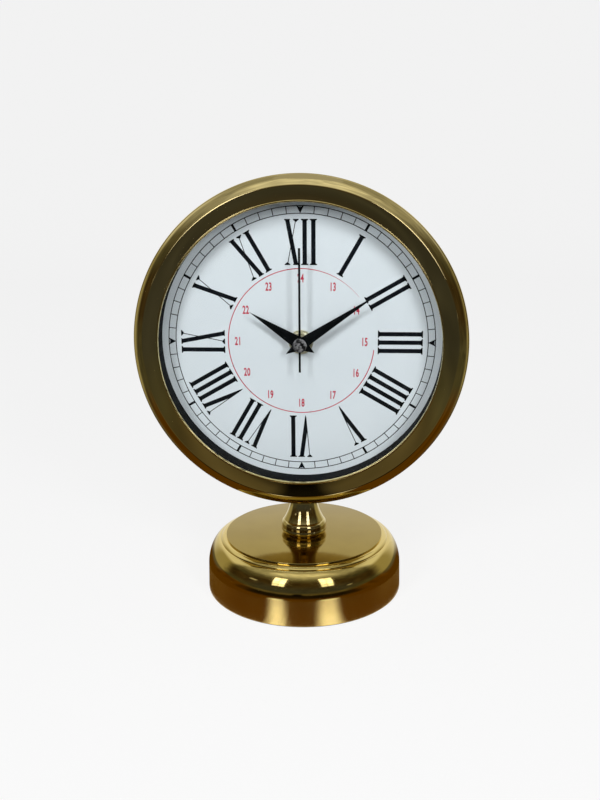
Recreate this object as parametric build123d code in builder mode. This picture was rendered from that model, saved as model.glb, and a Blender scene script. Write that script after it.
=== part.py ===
from build123d import *
import math
import os

# Brass table clock: a round head on a turned neck and a domed base, with a battery
# quartz movement behind the dial. Millimetres, +Z up, the dial faces -Y, and the
# origin is the middle of the underside.

# Driving dimensions of the stand
BASE_R = 53.0
BASE_DRAFT = 0.6
BASE_TOP_Z = 30.2
BASE_WALL_Z = 15.0
BASE_SHOULDER_W = 7.0
BASE_SHOULDER_STEP = 0.4
BASE_RING_W = 3.7
BASE_RING_H = 2.4
BASE_DISC_STEP = 1.0
BASE_SHELL_T = 1.5
FELT_T = 1.5
FELT_INSET = 0.5
WEIGHT_GAP = 1.5
WEIGHT_T = 10.0
NECK_H = 27.8
NECK_FOOT_R = 10.8
NECK_BEAD_R = 12.4
NECK_BEAD_H = 2.6
NECK_BAND_R = 12.1
NECK_BAND_LOW_H = 3.6
NECK_BAND_TOP_H = 5.2
NECK_CROWN_R = 11.1
NECK_CROWN_H = 7.3
NECK_GROOVE = 0.3
NECK_BELL_R = 10.9
NECK_BELL_H = 7.9
NECK_MID_R = 8.8
NECK_MID_H = 12.0
NECK_WAIST_R = 7.0
NECK_WAIST_H = 19.5
NECK_TOP_R = 9.6
NECK_SEAT_GAP = 0.02
ROD_R = 3.0
ROD_GAP = 0.2
ROD_EDGE = 0.2
THREAD_GAP = 0.02
ROD_END = 1.5
ROD_NUT_FLATS = 10.0
ROD_NUT_T = 5.0
ROD_WASHER_R = 6.0
ROD_WASHER_T = 1.6

# Driving dimensions of the head
BEZEL_R = 82.5
BEZEL_FRONT_Y = -29.0
BEZEL_BAND_DEPTH = 4.5
BEZEL_BAND_W = 5.25
BEZEL_CROWN = 0.45
BEZEL_FACE_W = 7.85
BEZEL_LIP_DROP = 0.4
BEZEL_LIP_T = 1.2
BEZEL_SKIRT_T = 1.5
BEZEL_SKIRT_LENGTH = 7.0
BEZEL_REBATE = 5.0
SLIP_GAP = 0.1
GLASS_INSET = 1.25
GLASS_T = 2.0
GLASS_EDGE = 0.3
SPACER_INSET = 1.0
SPACER_WALL = 1.6
SPACER_LENGTH = 11.9
SPACER_FLANGE_T = 1.5
PAPER_T = 0.3
PLATE_T = 1.2
DIAL_GAP = 0.4
DRUM_INSET = 2.5
DRUM_T = 1.2
DRUM_LEAD = 3.4
DRUM_LENGTH = 39.5
DRUM_SEAT_W = 10.0
DRUM_SEAT_T = 1.2
COVER_T = 1.2
COVER_DISH = 4.0
COVER_DISH_W = 12.0
COVER_RIM_LENGTH = 6.5
ACCESS_R = 36.0
ACCESS_COLLAR = 3.0
SCREW_HEAD_R = 2.3
SCREW_HEAD_T = 1.3
SCREW_HEAD_DRAFT = 2.3
SCREW_SHANK_R = 1.2
SCREW_LENGTH = 3.6
SCREW_ANGLES = (45, 135, 225, 315)
QUARTER_ARC = 90

# Driving dimensions of the movement, measured from the dial centre
MOVE_CORNER = 4.0
MOVE_WALL = 1.2
MOVE_FRONT_T = 1.0
MOVE_DEPTH = 14.5
MOVE_COVER_T = 1.5
RUBBER_T = 1.0
RUBBER_R = 9.0
BUSH_R = 4.0
BUSH_GAP = 0.15
BUSH_TIP = 0.8
STEM_WASHER_R = 6.2
STEM_WASHER_T = 0.5
STEM_NUT_FLATS = 9.6
STEM_NUT_T = 2.3
CELL_R = 7.25
CELL_LENGTH = 50.5
CELL_NUB_R = 2.75
CELL_NUB_T = 1.3
CELL_GAP = 0.15
CELL_EDGE = 0.4
CELL_SLACK = 3.1
CONTACT_T = 0.4
CONTACT_W = 8.0
CONTACT_H = 10.0
CONTACT_LEAF = 1.9
BRIDGE_T = 0.8
BRIDGE_W = 40.0
BRIDGE_LOW_Z = -9.5
BRIDGE_TOP_Z = 18.5
POST_R = 1.2
POST_INSET = 2.0
STATOR_T = 1.0
STATOR_W = 28.0
STATOR_LOW_Z = 10.2
STATOR_BAR_H = 8.0
STATOR_LEG_W = 4.0
COIL_Z = 22.5
COIL_R = 2.6
COIL_LENGTH = 18.0
CORE_H = 3.0
CORE_T = 1.0
BOARD_T = 1.0
BOARD_W = 13.0
BOARD_H = 28.0
BOARD_GAP = 0.7
CRYSTAL_R = 1.0
CRYSTAL_LENGTH = 6.0
KNOB_R = 6.0
KNOB_T = 4.0
KNOB_FLUTES = 16
KNOB_FLUTE_R = 0.6
KNOB_EDGE = 0.4

# Clearances of the shafts
RUN_GAP = 0.05
PRESS_GAP = 0.02
LAYER_GAP = 0.3
PIVOT_DEPTH = 0.6
ARBOR_R = 0.5
MINUTE_ARBOR_R = 0.7
CANNON_R = 1.65
HOUR_PIPE_R = 2.55

# Teeth of the running train, from the rotor to the centre wheel
ROTOR_TEETH = 6
INTERMEDIATE_TEETH = 30
INTERMEDIATE_PINION = 6
SECOND_TEETH = 36
SECOND_PINION = 6
THIRD_TEETH = 45
THIRD_PINION = 6
CENTRE_TEETH = 48
ROTOR_MODULE = 0.35
SECOND_MODULE = 0.40
THIRD_MODULE = 0.40
ROTOR_MAGNET_R = 2.6
ROTOR_MAGNET_T = 1.2
ROTOR_GAP = 0.8

# Teeth of the motion work, which carries the hour hand at a twelfth of the minute hand
CANNON_TEETH = 10
MINUTE_TEETH = 30
MINUTE_PINION = 8
HOUR_TEETH = 32
MOTION_MODULE = 0.54
WHEEL_T = 0.8
PINION_OVERHANG = 0.2

# Tooth forms as shares of the module (addendum, dedendum) and of the pitch (tip, root)
PINION_FORM = (0.7, 1.2, 0.14, 0.34)
WHEEL_FORM = (0.8, 1.1, 0.16, 0.50)

# Directions of the arbors from the dial centre, in degrees from +X towards +Z
MINUTE_DIRECTION = 0.0
THIRD_DIRECTION = 150.0
INTERMEDIATE_DIRECTION = 75.0

# Hands: lengths from the centre, and the angle clockwise from twelve at rest
HAND_T = 0.4
HOUR_HAND = 29.8
HOUR_TAIL = 8.3
HOUR_HALF_W = 3.4
HOUR_ANGLE = 302.2
MINUTE_HAND = 46.0
MINUTE_TAIL = 8.4
MINUTE_HALF_W = 2.9
MINUTE_ANGLE = 56.5
SECOND_HAND = 47.5
SECOND_TAIL = 13.6
SECOND_W = 1.05
HUB_R = 3.45
HUB_T = 1.3
HOUR_HAND_RISE = 1.6
HAND_SPACING = 1.8
HUB_EDGE = 0.3

# Radii that follow from the base's and the bezel's
BASE_FOOT_R = BASE_R - BASE_DRAFT
BASE_SHOULDER_R = BASE_R - BASE_SHOULDER_W
BASE_DISC_R = BASE_SHOULDER_R - BASE_RING_W
WEIGHT_R = BASE_SHOULDER_R - WEIGHT_GAP
BEZEL_RIDGE_R = BEZEL_R - BEZEL_BAND_W
BEZEL_LIP_R = BEZEL_RIDGE_R - BEZEL_FACE_W
GLASS_R = BEZEL_RIDGE_R - GLASS_INSET
SPACER_BORE_R = BEZEL_LIP_R + SPACER_INSET
DRUM_R = BEZEL_R - DRUM_INSET
DRUM_IN_R = DRUM_R - DRUM_T
DRUM_SEAT_R = DRUM_R - DRUM_SEAT_W
COVER_DISH_R = DRUM_R - COVER_DISH_W
COVER_RIM_R = DRUM_IN_R - SLIP_GAP

# Depths that follow, front to back along Y
LIP_Y = BEZEL_FRONT_Y + BEZEL_LIP_DROP
GLASS_Y = LIP_Y + BEZEL_LIP_T
GLASS_BACK_Y = GLASS_Y + GLASS_T
DIAL_Y = GLASS_BACK_Y + SPACER_LENGTH
PLATE_Y = DIAL_Y + PAPER_T
SEAT_Y = PLATE_Y + PLATE_T
MOVE_Y = SEAT_Y + RUBBER_T
MOVE_INSIDE_Y = MOVE_Y + MOVE_FRONT_T
MOVE_RIM_Y = MOVE_Y + MOVE_DEPTH
MOVE_BACK_Y = MOVE_RIM_Y + MOVE_COVER_T
BAND_Y = BEZEL_FRONT_Y + BEZEL_BAND_DEPTH
DRUM_FRONT_Y = GLASS_Y + BEZEL_REBATE + DRUM_LEAD
DRUM_BACK_Y = DRUM_FRONT_Y + DRUM_LENGTH
BEZEL_SKIRT_Y = DRUM_FRONT_Y + BEZEL_SKIRT_LENGTH
COVER_BACK_Y = DRUM_BACK_Y + COVER_DISH
SCREW_Y = DRUM_BACK_Y - COVER_RIM_LENGTH / 2

# Depths of the train, one layer behind the other
HOUR_WHEEL_Y = MOVE_INSIDE_Y + 2 * LAYER_GAP
MINUTE_WHEEL_Y = HOUR_WHEEL_Y + WHEEL_T + 2 * LAYER_GAP + PINION_OVERHANG
CENTRE_WHEEL_Y = MINUTE_WHEEL_Y + WHEEL_T + 3 * LAYER_GAP + PINION_OVERHANG
THIRD_WHEEL_Y = CENTRE_WHEEL_Y + WHEEL_T + 4 * LAYER_GAP + PINION_OVERHANG
BRIDGE_Y = THIRD_WHEEL_Y + WHEEL_T + LAYER_GAP + PINION_OVERHANG
BRIDGE_BACK_Y = BRIDGE_Y + BRIDGE_T
SECOND_WHEEL_Y = BRIDGE_BACK_Y + LAYER_GAP + PINION_OVERHANG
INTERMEDIATE_WHEEL_Y = SECOND_WHEEL_Y + WHEEL_T + 2 * LAYER_GAP + PINION_OVERHANG
ROTOR_MAGNET_Y = BRIDGE_BACK_Y + LAYER_GAP
PIVOT_BACK_Y = MOVE_RIM_Y + PIVOT_DEPTH
CORE_Y = BRIDGE_BACK_Y + STATOR_T
BOARD_Y = MOVE_RIM_Y - BOARD_GAP - BOARD_T

# Depths of the stack in front of the dial
STEM_WASHER_Y = DIAL_Y - STEM_WASHER_T
STEM_NUT_Y = STEM_WASHER_Y - STEM_NUT_T
BUSH_TIP_Y = STEM_NUT_Y - BUSH_TIP
HOUR_HAND_BACK_Y = BUSH_TIP_Y - HOUR_HAND_RISE
MINUTE_HAND_BACK_Y = HOUR_HAND_BACK_Y - HAND_T - HAND_SPACING
HUB_BACK_Y = MINUTE_HAND_BACK_Y - HAND_T - HAND_SPACING + HUB_T / 2
HUB_FRONT_Y = HUB_BACK_Y - HUB_T

# Heights of the stand
BASE_SHOULDER_Z = BASE_TOP_Z - BASE_RING_H
DRUM_LOW_Z = BASE_TOP_Z + NECK_H
HEAD_Z = DRUM_LOW_Z + DRUM_R
SHELL_CEILING_Z = BASE_SHOULDER_Z - BASE_SHELL_T
WEIGHT_Z = SHELL_CEILING_Z - WEIGHT_T
LOWER_NUT_Z = WEIGHT_Z - ROD_WASHER_T - ROD_NUT_T
UPPER_WASHER_Z = HEAD_Z - math.sqrt(DRUM_IN_R**2 - ROD_WASHER_R**2)
UPPER_NUT_Z = UPPER_WASHER_Z + ROD_WASHER_T
ROD_TOP_Z = UPPER_NUT_Z + ROD_NUT_T + ROD_END
ROD_LOW_Z = LOWER_NUT_Z - ROD_END

HEAD_AXIS = Axis((0, 0, HEAD_Z), (0, 1, 0))
HEAD_PROFILE = Plane(origin=(0, 0, HEAD_Z), x_dir=(0, 1, 0), z_dir=(1, 0, 0))
OUTWARD = (0, 1)


def face_plane(y, at=(0.0, 0.0), clockwise=0.0):
    """Plane parallel to the dial at depth y, seen and extruded towards the front, its Y axis turned."""
    turn = math.radians(clockwise)
    across = (math.cos(turn), 0, -math.sin(turn))
    return Plane(origin=(at[0], y, HEAD_Z + at[1]), x_dir=across, z_dir=(0, -1, 0))


def radial_plane(y, angle, radius):
    """Plane square to a spoke of the head at the given angle and radius, facing outwards."""
    spoke = (math.cos(math.radians(angle)), 0, math.sin(math.radians(angle)))
    return Plane(origin=(0, y, HEAD_Z), x_dir=(0, 1, 0), z_dir=spoke).offset(radius)


def spoke_point(distance, direction):
    """Point in the dial's plane at a distance and direction from its centre."""
    turn = math.radians(direction)
    return (distance * math.cos(turn), distance * math.sin(turn))


def tooth_points(teeth, module, form, start=0.0):
    """Outline of a wheel: four points a tooth, the first tooth centred on the start angle."""
    addendum, dedendum, tip_share, root_share = form
    pitch_r = module * teeth / 2
    pitch = math.pi * module
    tip = (pitch_r + addendum * module, tip_share * pitch / 2)
    root = (pitch_r - dedendum * module, root_share * pitch / 2)
    corners = ((root, -1), (tip, -1), (tip, 1), (root, 1))
    points = []
    for tooth in range(teeth):
        middle = start + 2 * math.pi * tooth / teeth
        for (radius, half), side in corners:
            turn = middle + side * math.asin(half / radius)
            points.append((radius * math.cos(turn), radius * math.sin(turn)))
    return points


def mesh_start(pinion_teeth, wheel_teeth, direction):
    """Start angle of a wheel in mesh with a pinion that starts at zero, lying that way from it."""
    line = math.radians(direction)
    return line + math.pi - math.pi / wheel_teeth + line * pinion_teeth / wheel_teeth


# Arbor places: each centre distance is half the teeth times the module
THIRD_REACH = THIRD_MODULE * (SECOND_PINION + THIRD_TEETH) / 2
CENTRE_MODULE = 2 * THIRD_REACH / (THIRD_PINION + CENTRE_TEETH)
MINUTE_REACH = MOTION_MODULE * (CANNON_TEETH + MINUTE_TEETH) / 2
HOUR_MODULE = 2 * MINUTE_REACH / (MINUTE_PINION + HOUR_TEETH)
INTERMEDIATE_REACH = SECOND_MODULE * (INTERMEDIATE_PINION + SECOND_TEETH) / 2
ROTOR_REACH = INTERMEDIATE_REACH + ROTOR_MODULE * (ROTOR_TEETH + INTERMEDIATE_TEETH) / 2
MINUTE_POINT = spoke_point(MINUTE_REACH, MINUTE_DIRECTION)
THIRD_POINT = spoke_point(THIRD_REACH, THIRD_DIRECTION)
INTERMEDIATE_POINT = spoke_point(INTERMEDIATE_REACH, INTERMEDIATE_DIRECTION)
ROTOR_POINT = spoke_point(ROTOR_REACH, INTERMEDIATE_DIRECTION)
BACKWARD = 180.0

# Movement outline: the cell lies across it, below the train
MOVE_IN = (CELL_LENGTH + CELL_SLACK) / 2
MOVE_W = 2 * (MOVE_IN + MOVE_WALL)
BAY_H = 2 * (CELL_R + CELL_GAP)
BAY_WALL_Z = BAY_H - MOVE_IN
TRAIN_LOW_Z = BAY_WALL_Z + MOVE_WALL
BAY_MID_Z = BAY_WALL_Z - BAY_H / 2
CELL_Y = MOVE_INSIDE_Y + CELL_R + CELL_GAP
CELL_TIP_X = MOVE_IN - CONTACT_T
COVER_H = MOVE_W / 2 - BAY_WALL_Z
COVER_MID_Z = BAY_WALL_Z + COVER_H / 2
BRIDGE_H = BRIDGE_TOP_Z - BRIDGE_LOW_Z
BRIDGE_MID_Z = BRIDGE_LOW_Z + BRIDGE_H / 2
BOARD_X = -MOVE_IN + BOARD_W / 2
BOARD_Z = TRAIN_LOW_Z + BOARD_H / 2 + POST_INSET
POST_SPAN_X = BRIDGE_W - 2 * POST_INSET
POST_SPAN_Z = BRIDGE_H - 2 * POST_INSET

os.makedirs("parts", exist_ok=True)

# Stand

with BuildPart() as base_felt:
    with BuildSketch(Plane.XY):
        Circle(BASE_FOOT_R - FELT_INSET)
    extrude(amount=FELT_T)
base_felt.part.label = "base_felt"
export_step(base_felt.part, "parts/base_felt.step")

# Turned brass dome: satin top disc, stepped ring, rounded shoulder and straight wall
with BuildPart() as base_shell:
    with BuildSketch(Plane.XZ):
        with BuildLine():
            Polyline(
                (0, SHELL_CEILING_Z),
                (0, BASE_TOP_Z),
                (BASE_DISC_R, BASE_TOP_Z),
                (BASE_DISC_R, BASE_TOP_Z - BASE_DISC_STEP),
                (BASE_SHOULDER_R, BASE_SHOULDER_Z + BASE_SHOULDER_STEP),
                (BASE_SHOULDER_R, BASE_SHOULDER_Z),
            )
            EllipticalCenterArc(
                (BASE_SHOULDER_R, BASE_WALL_Z),
                BASE_R - BASE_SHOULDER_R,
                BASE_SHOULDER_Z - BASE_WALL_Z,
                start_angle=0,
                arc_size=QUARTER_ARC,
            )
            Polyline(
                (BASE_R, BASE_WALL_Z),
                (BASE_FOOT_R, FELT_T),
                (BASE_FOOT_R - BASE_SHELL_T, FELT_T),
                (BASE_R - BASE_SHELL_T, BASE_WALL_Z),
            )
            EllipticalCenterArc(
                (BASE_SHOULDER_R, BASE_WALL_Z),
                BASE_R - BASE_SHOULDER_R - BASE_SHELL_T,
                BASE_SHOULDER_Z - BASE_WALL_Z - BASE_SHELL_T,
                start_angle=0,
                arc_size=QUARTER_ARC,
            )
            Line((BASE_SHOULDER_R, SHELL_CEILING_Z), (0, SHELL_CEILING_Z))
        make_face()
    revolve(axis=Axis.Z)
    with BuildSketch(Plane.XY.offset(BASE_TOP_Z)):
        Circle(ROD_R + ROD_GAP)
    extrude(amount=SHELL_CEILING_Z - BASE_TOP_Z, mode=Mode.SUBTRACT)
base_shell.part.label = "base_shell"
export_step(base_shell.part, "parts/base_shell.step")

with BuildPart() as base_weight:
    with BuildSketch(Plane.XY.offset(WEIGHT_Z)):
        Circle(WEIGHT_R)
        Circle(ROD_R + ROD_GAP, mode=Mode.SUBTRACT)
    extrude(amount=WEIGHT_T)
base_weight.part.label = "base_weight"
export_step(base_weight.part, "parts/base_weight.step")

# Turned neck: foot bead, band with a rounded crown, groove and bell, its top hollowed to seat on the drum
with BuildPart() as neck:
    with BuildSketch(Plane.XZ):
        with BuildLine():
            Polyline(
                (ROD_R + ROD_GAP, DRUM_LOW_Z + NECK_TOP_R),
                (ROD_R + ROD_GAP, BASE_TOP_Z),
                (NECK_FOOT_R, BASE_TOP_Z),
            )
            ThreePointArc(
                (NECK_FOOT_R, BASE_TOP_Z),
                ((NECK_FOOT_R + 2 * NECK_BEAD_R) / 3, BASE_TOP_Z + NECK_BEAD_H / 2),
                (NECK_BEAD_R, BASE_TOP_Z + NECK_BEAD_H),
            )
            Polyline(
                (NECK_BEAD_R, BASE_TOP_Z + NECK_BEAD_H),
                (NECK_BAND_R, BASE_TOP_Z + NECK_BAND_LOW_H),
                (NECK_BAND_R, BASE_TOP_Z + NECK_BAND_TOP_H),
            )
            ThreePointArc(
                (NECK_BAND_R, BASE_TOP_Z + NECK_BAND_TOP_H),
                (
                    (NECK_CROWN_R + 3 * NECK_BAND_R) / 4,
                    BASE_TOP_Z + (NECK_BAND_TOP_H + NECK_CROWN_H) / 2,
                ),
                (NECK_CROWN_R, BASE_TOP_Z + NECK_CROWN_H),
            )
            Polyline(
                (NECK_CROWN_R, BASE_TOP_Z + NECK_CROWN_H),
                (NECK_BELL_R - NECK_GROOVE, BASE_TOP_Z + NECK_BELL_H - NECK_GROOVE),
                (NECK_BELL_R, BASE_TOP_Z + NECK_BELL_H),
            )
            Spline(
                (NECK_BELL_R, BASE_TOP_Z + NECK_BELL_H),
                (NECK_MID_R, BASE_TOP_Z + NECK_MID_H),
                (NECK_WAIST_R, BASE_TOP_Z + NECK_WAIST_H),
                (NECK_TOP_R, DRUM_LOW_Z + NECK_TOP_R),
            )
            Line((NECK_TOP_R, DRUM_LOW_Z + NECK_TOP_R), (ROD_R + ROD_GAP, DRUM_LOW_Z + NECK_TOP_R))
        make_face()
    revolve(axis=Axis.Z)
    with BuildSketch(face_plane(NECK_BELL_R)):
        Circle(DRUM_R + NECK_SEAT_GAP)
    extrude(amount=2 * NECK_BELL_R, mode=Mode.SUBTRACT)
neck.part.label = "neck"
export_step(neck.part, "parts/neck.step")

with BuildPart() as tie_rod:
    with BuildSketch(Plane.XY.offset(ROD_LOW_Z)):
        Circle(ROD_R)
    extrude(amount=ROD_TOP_Z - ROD_LOW_Z)
    chamfer(tie_rod.edges().filter_by(GeomType.CIRCLE), length=ROD_EDGE)
tie_rod.part.label = "tie_rod"
export_step(tie_rod.part, "parts/tie_rod.step")

with BuildPart() as tie_rod_washers:
    for washer_z in (WEIGHT_Z - ROD_WASHER_T, UPPER_WASHER_Z):
        with BuildSketch(Plane.XY.offset(washer_z)):
            Circle(ROD_WASHER_R)
            Circle(ROD_R + ROD_GAP, mode=Mode.SUBTRACT)
        extrude(amount=ROD_WASHER_T)
tie_rod_washers.part.label = "tie_rod_washers"
export_step(tie_rod_washers.part, "parts/tie_rod_washers.step")

with BuildPart() as tie_rod_nuts:
    for nut_z in (LOWER_NUT_Z, UPPER_NUT_Z):
        with BuildSketch(Plane.XY.offset(nut_z)):
            RegularPolygon(ROD_NUT_FLATS / 2, 6, major_radius=False)
            Circle(ROD_R + THREAD_GAP, mode=Mode.SUBTRACT)
        extrude(amount=ROD_NUT_T)
tie_rod_nuts.part.label = "tie_rod_nuts"
export_step(tie_rod_nuts.part, "parts/tie_rod_nuts.step")

# Head case

with BuildPart() as case_drum:
    with BuildSketch(HEAD_PROFILE):
        with BuildLine():
            Polyline(
                (DRUM_FRONT_Y, DRUM_R),
                (DRUM_BACK_Y, DRUM_R),
                (DRUM_BACK_Y, DRUM_IN_R),
                (SEAT_Y + DRUM_SEAT_T, DRUM_IN_R),
                (SEAT_Y + DRUM_SEAT_T, DRUM_SEAT_R),
                (SEAT_Y, DRUM_SEAT_R),
                (SEAT_Y, DRUM_IN_R),
                (DRUM_FRONT_Y, DRUM_IN_R),
                close=True,
            )
        make_face()
    revolve(axis=HEAD_AXIS)
    with BuildSketch(Plane.XY.offset(DRUM_LOW_Z - DRUM_T)):
        Circle(ROD_R + ROD_GAP)
    extrude(amount=4 * DRUM_T, mode=Mode.SUBTRACT)
    for screw_angle in SCREW_ANGLES:
        with BuildSketch(radial_plane(SCREW_Y, screw_angle, DRUM_R - 2 * DRUM_T)):
            Circle(SCREW_SHANK_R + SLIP_GAP)
        extrude(amount=4 * DRUM_T, mode=Mode.SUBTRACT)
case_drum.part.label = "case_drum"
export_step(case_drum.part, "parts/case_drum.step")

# Bezel ring: convex outer band, ridge, flat inner band and lip, rebated for the glass
with BuildPart() as bezel:
    with BuildSketch(HEAD_PROFILE):
        with BuildLine():
            Line((BEZEL_SKIRT_Y, DRUM_R + SLIP_GAP + BEZEL_SKIRT_T), (BAND_Y, BEZEL_R))
            ThreePointArc(
                (BAND_Y, BEZEL_R),
                (
                    (BAND_Y + BEZEL_FRONT_Y) / 2 - BEZEL_CROWN / math.sqrt(2),
                    (BEZEL_R + BEZEL_RIDGE_R) / 2 + BEZEL_CROWN / math.sqrt(2),
                ),
                (BEZEL_FRONT_Y, BEZEL_RIDGE_R),
            )
            Polyline(
                (BEZEL_FRONT_Y, BEZEL_RIDGE_R),
                (LIP_Y, BEZEL_LIP_R),
                (GLASS_Y, BEZEL_LIP_R),
                (GLASS_Y, GLASS_R + SLIP_GAP),
                (GLASS_Y + BEZEL_REBATE, GLASS_R + SLIP_GAP),
                (DRUM_FRONT_Y - SLIP_GAP, DRUM_R + SLIP_GAP),
                (BEZEL_SKIRT_Y, DRUM_R + SLIP_GAP),
                (BEZEL_SKIRT_Y, DRUM_R + SLIP_GAP + BEZEL_SKIRT_T),
            )
        make_face()
    revolve(axis=HEAD_AXIS)
bezel.part.label = "bezel"
export_step(bezel.part, "parts/bezel.step")

with BuildPart() as glass:
    with BuildSketch(face_plane(GLASS_BACK_Y)):
        Circle(GLASS_R)
    extrude(amount=GLASS_T)
    chamfer(glass.edges().filter_by(GeomType.CIRCLE), length=GLASS_EDGE)
glass.part.label = "glass"
export_step(glass.part, "parts/glass.step")

with BuildPart() as spacer_ring:
    with BuildSketch(HEAD_PROFILE):
        with BuildLine():
            Polyline(
                (GLASS_BACK_Y, SPACER_BORE_R),
                (GLASS_BACK_Y, GLASS_R - SLIP_GAP),
                (GLASS_BACK_Y + SPACER_FLANGE_T, GLASS_R - SLIP_GAP),
                (GLASS_BACK_Y + SPACER_FLANGE_T, SPACER_BORE_R + SPACER_WALL),
                (DIAL_Y, SPACER_BORE_R + SPACER_WALL),
                (DIAL_Y, SPACER_BORE_R),
                close=True,
            )
        make_face()
    revolve(axis=HEAD_AXIS)
spacer_ring.part.label = "spacer_ring"
export_step(spacer_ring.part, "parts/spacer_ring.step")

with BuildPart() as dial_face:
    with BuildSketch(face_plane(PLATE_Y)):
        Circle(DRUM_IN_R - DIAL_GAP)
        Circle(BUSH_R + BUSH_GAP, mode=Mode.SUBTRACT)
    extrude(amount=PAPER_T)
dial_face.part.label = "dial_face"
export_step(dial_face.part, "parts/dial_face.step")

with BuildPart() as dial_plate:
    with BuildSketch(face_plane(SEAT_Y)):
        Circle(DRUM_IN_R - DIAL_GAP)
        Circle(BUSH_R + BUSH_GAP, mode=Mode.SUBTRACT)
    extrude(amount=PLATE_T)
dial_plate.part.label = "dial_plate"
export_step(dial_plate.part, "parts/dial_plate.step")

# Dished back plate with a round opening for the cell and the setting knob, its rim inside the drum
with BuildPart() as back_cover:
    with BuildSketch(HEAD_PROFILE):
        with BuildLine():
            TangentArc((COVER_BACK_Y, COVER_DISH_R), (DRUM_BACK_Y, DRUM_R), tangent=OUTWARD)
            Polyline(
                (DRUM_BACK_Y, DRUM_R),
                (DRUM_BACK_Y, COVER_RIM_R),
                (DRUM_BACK_Y - COVER_RIM_LENGTH, COVER_RIM_R),
                (DRUM_BACK_Y - COVER_RIM_LENGTH, COVER_RIM_R - COVER_T),
                (DRUM_BACK_Y, COVER_RIM_R - COVER_T),
            )
            TangentArc(
                (COVER_BACK_Y - COVER_T, COVER_DISH_R),
                (DRUM_BACK_Y, COVER_RIM_R - COVER_T),
                tangent=OUTWARD,
            )
            Polyline(
                (COVER_BACK_Y - COVER_T, COVER_DISH_R),
                (COVER_BACK_Y - COVER_T, ACCESS_R + COVER_T),
                (COVER_BACK_Y - ACCESS_COLLAR, ACCESS_R + COVER_T),
                (COVER_BACK_Y - ACCESS_COLLAR, ACCESS_R),
                (COVER_BACK_Y, ACCESS_R),
                (COVER_BACK_Y, COVER_DISH_R),
            )
        make_face()
    revolve(axis=HEAD_AXIS)
    for screw_angle in SCREW_ANGLES:
        with BuildSketch(radial_plane(SCREW_Y, screw_angle, COVER_RIM_R - 2 * COVER_T)):
            Circle(SCREW_SHANK_R + THREAD_GAP)
        extrude(amount=3 * COVER_T, mode=Mode.SUBTRACT)
back_cover.part.label = "back_cover"
export_step(back_cover.part, "parts/back_cover.step")

with BuildPart() as back_screws:
    for screw_angle in SCREW_ANGLES:
        with BuildSketch(radial_plane(SCREW_Y, screw_angle, DRUM_R)):
            Circle(SCREW_HEAD_R)
        extrude(amount=SCREW_HEAD_T, taper=SCREW_HEAD_DRAFT)
        with BuildSketch(radial_plane(SCREW_Y, screw_angle, DRUM_R)):
            Circle(SCREW_SHANK_R)
        extrude(amount=-SCREW_LENGTH)
back_screws.part.label = "back_screws"
export_step(back_screws.part, "parts/back_screws.step")

# Movement case

with BuildPart() as movement_housing:
    with BuildSketch(face_plane(MOVE_RIM_Y)):
        RectangleRounded(MOVE_W, MOVE_W, MOVE_CORNER)
    extrude(amount=MOVE_DEPTH)
    with BuildSketch(face_plane(MOVE_RIM_Y)):
        with Locations((0, (TRAIN_LOW_Z + MOVE_IN) / 2)):
            Rectangle(2 * MOVE_IN, MOVE_IN - TRAIN_LOW_Z)
        with Locations((0, BAY_MID_Z)):
            Rectangle(2 * MOVE_IN, BAY_H)
    extrude(amount=MOVE_RIM_Y - MOVE_INSIDE_Y, mode=Mode.SUBTRACT)
    with BuildSketch(face_plane(BRIDGE_Y)):
        with Locations((0, BRIDGE_MID_Z)):
            with GridLocations(POST_SPAN_X, POST_SPAN_Z, 2, 2):
                Circle(POST_R)
    extrude(amount=BRIDGE_Y - MOVE_INSIDE_Y)
    with BuildSketch(face_plane(MOVE_INSIDE_Y)):
        Circle(BUSH_R + THREAD_GAP)
    extrude(amount=MOVE_FRONT_T, mode=Mode.SUBTRACT)
    with BuildSketch(face_plane(MOVE_INSIDE_Y)):
        with Locations(THIRD_POINT):
            Circle(ARBOR_R + RUN_GAP)
        with Locations(MINUTE_POINT):
            Circle(MINUTE_ARBOR_R + RUN_GAP)
    extrude(amount=PIVOT_DEPTH + RUN_GAP, mode=Mode.SUBTRACT)
movement_housing.part.label = "movement_housing"
export_step(movement_housing.part, "parts/movement_housing.step")

with BuildPart() as movement_cover:
    with BuildSketch(face_plane(MOVE_BACK_Y, (0, COVER_MID_Z))):
        Rectangle(MOVE_W, COVER_H)
        fillet(vertices().group_by(Axis.Y)[-1], MOVE_CORNER)
    extrude(amount=MOVE_COVER_T)
    with BuildSketch(face_plane(MOVE_RIM_Y)):
        with Locations((BOARD_X, BOARD_Z)):
            with GridLocations(BOARD_W - 2 * POST_INSET, BOARD_H - 2 * POST_INSET, 2, 2):
                Circle(POST_R)
    extrude(amount=BOARD_GAP)
    with BuildSketch(face_plane(PIVOT_BACK_Y + RUN_GAP)):
        with Locations((0, 0), INTERMEDIATE_POINT, ROTOR_POINT):
            Circle(ARBOR_R + RUN_GAP)
    extrude(amount=PIVOT_DEPTH + RUN_GAP, mode=Mode.SUBTRACT)
    with BuildSketch(face_plane(MOVE_BACK_Y, MINUTE_POINT)):
        Circle(MINUTE_ARBOR_R + RUN_GAP)
    extrude(amount=MOVE_COVER_T, mode=Mode.SUBTRACT)
movement_cover.part.label = "movement_cover"
export_step(movement_cover.part, "parts/movement_cover.step")

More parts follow.
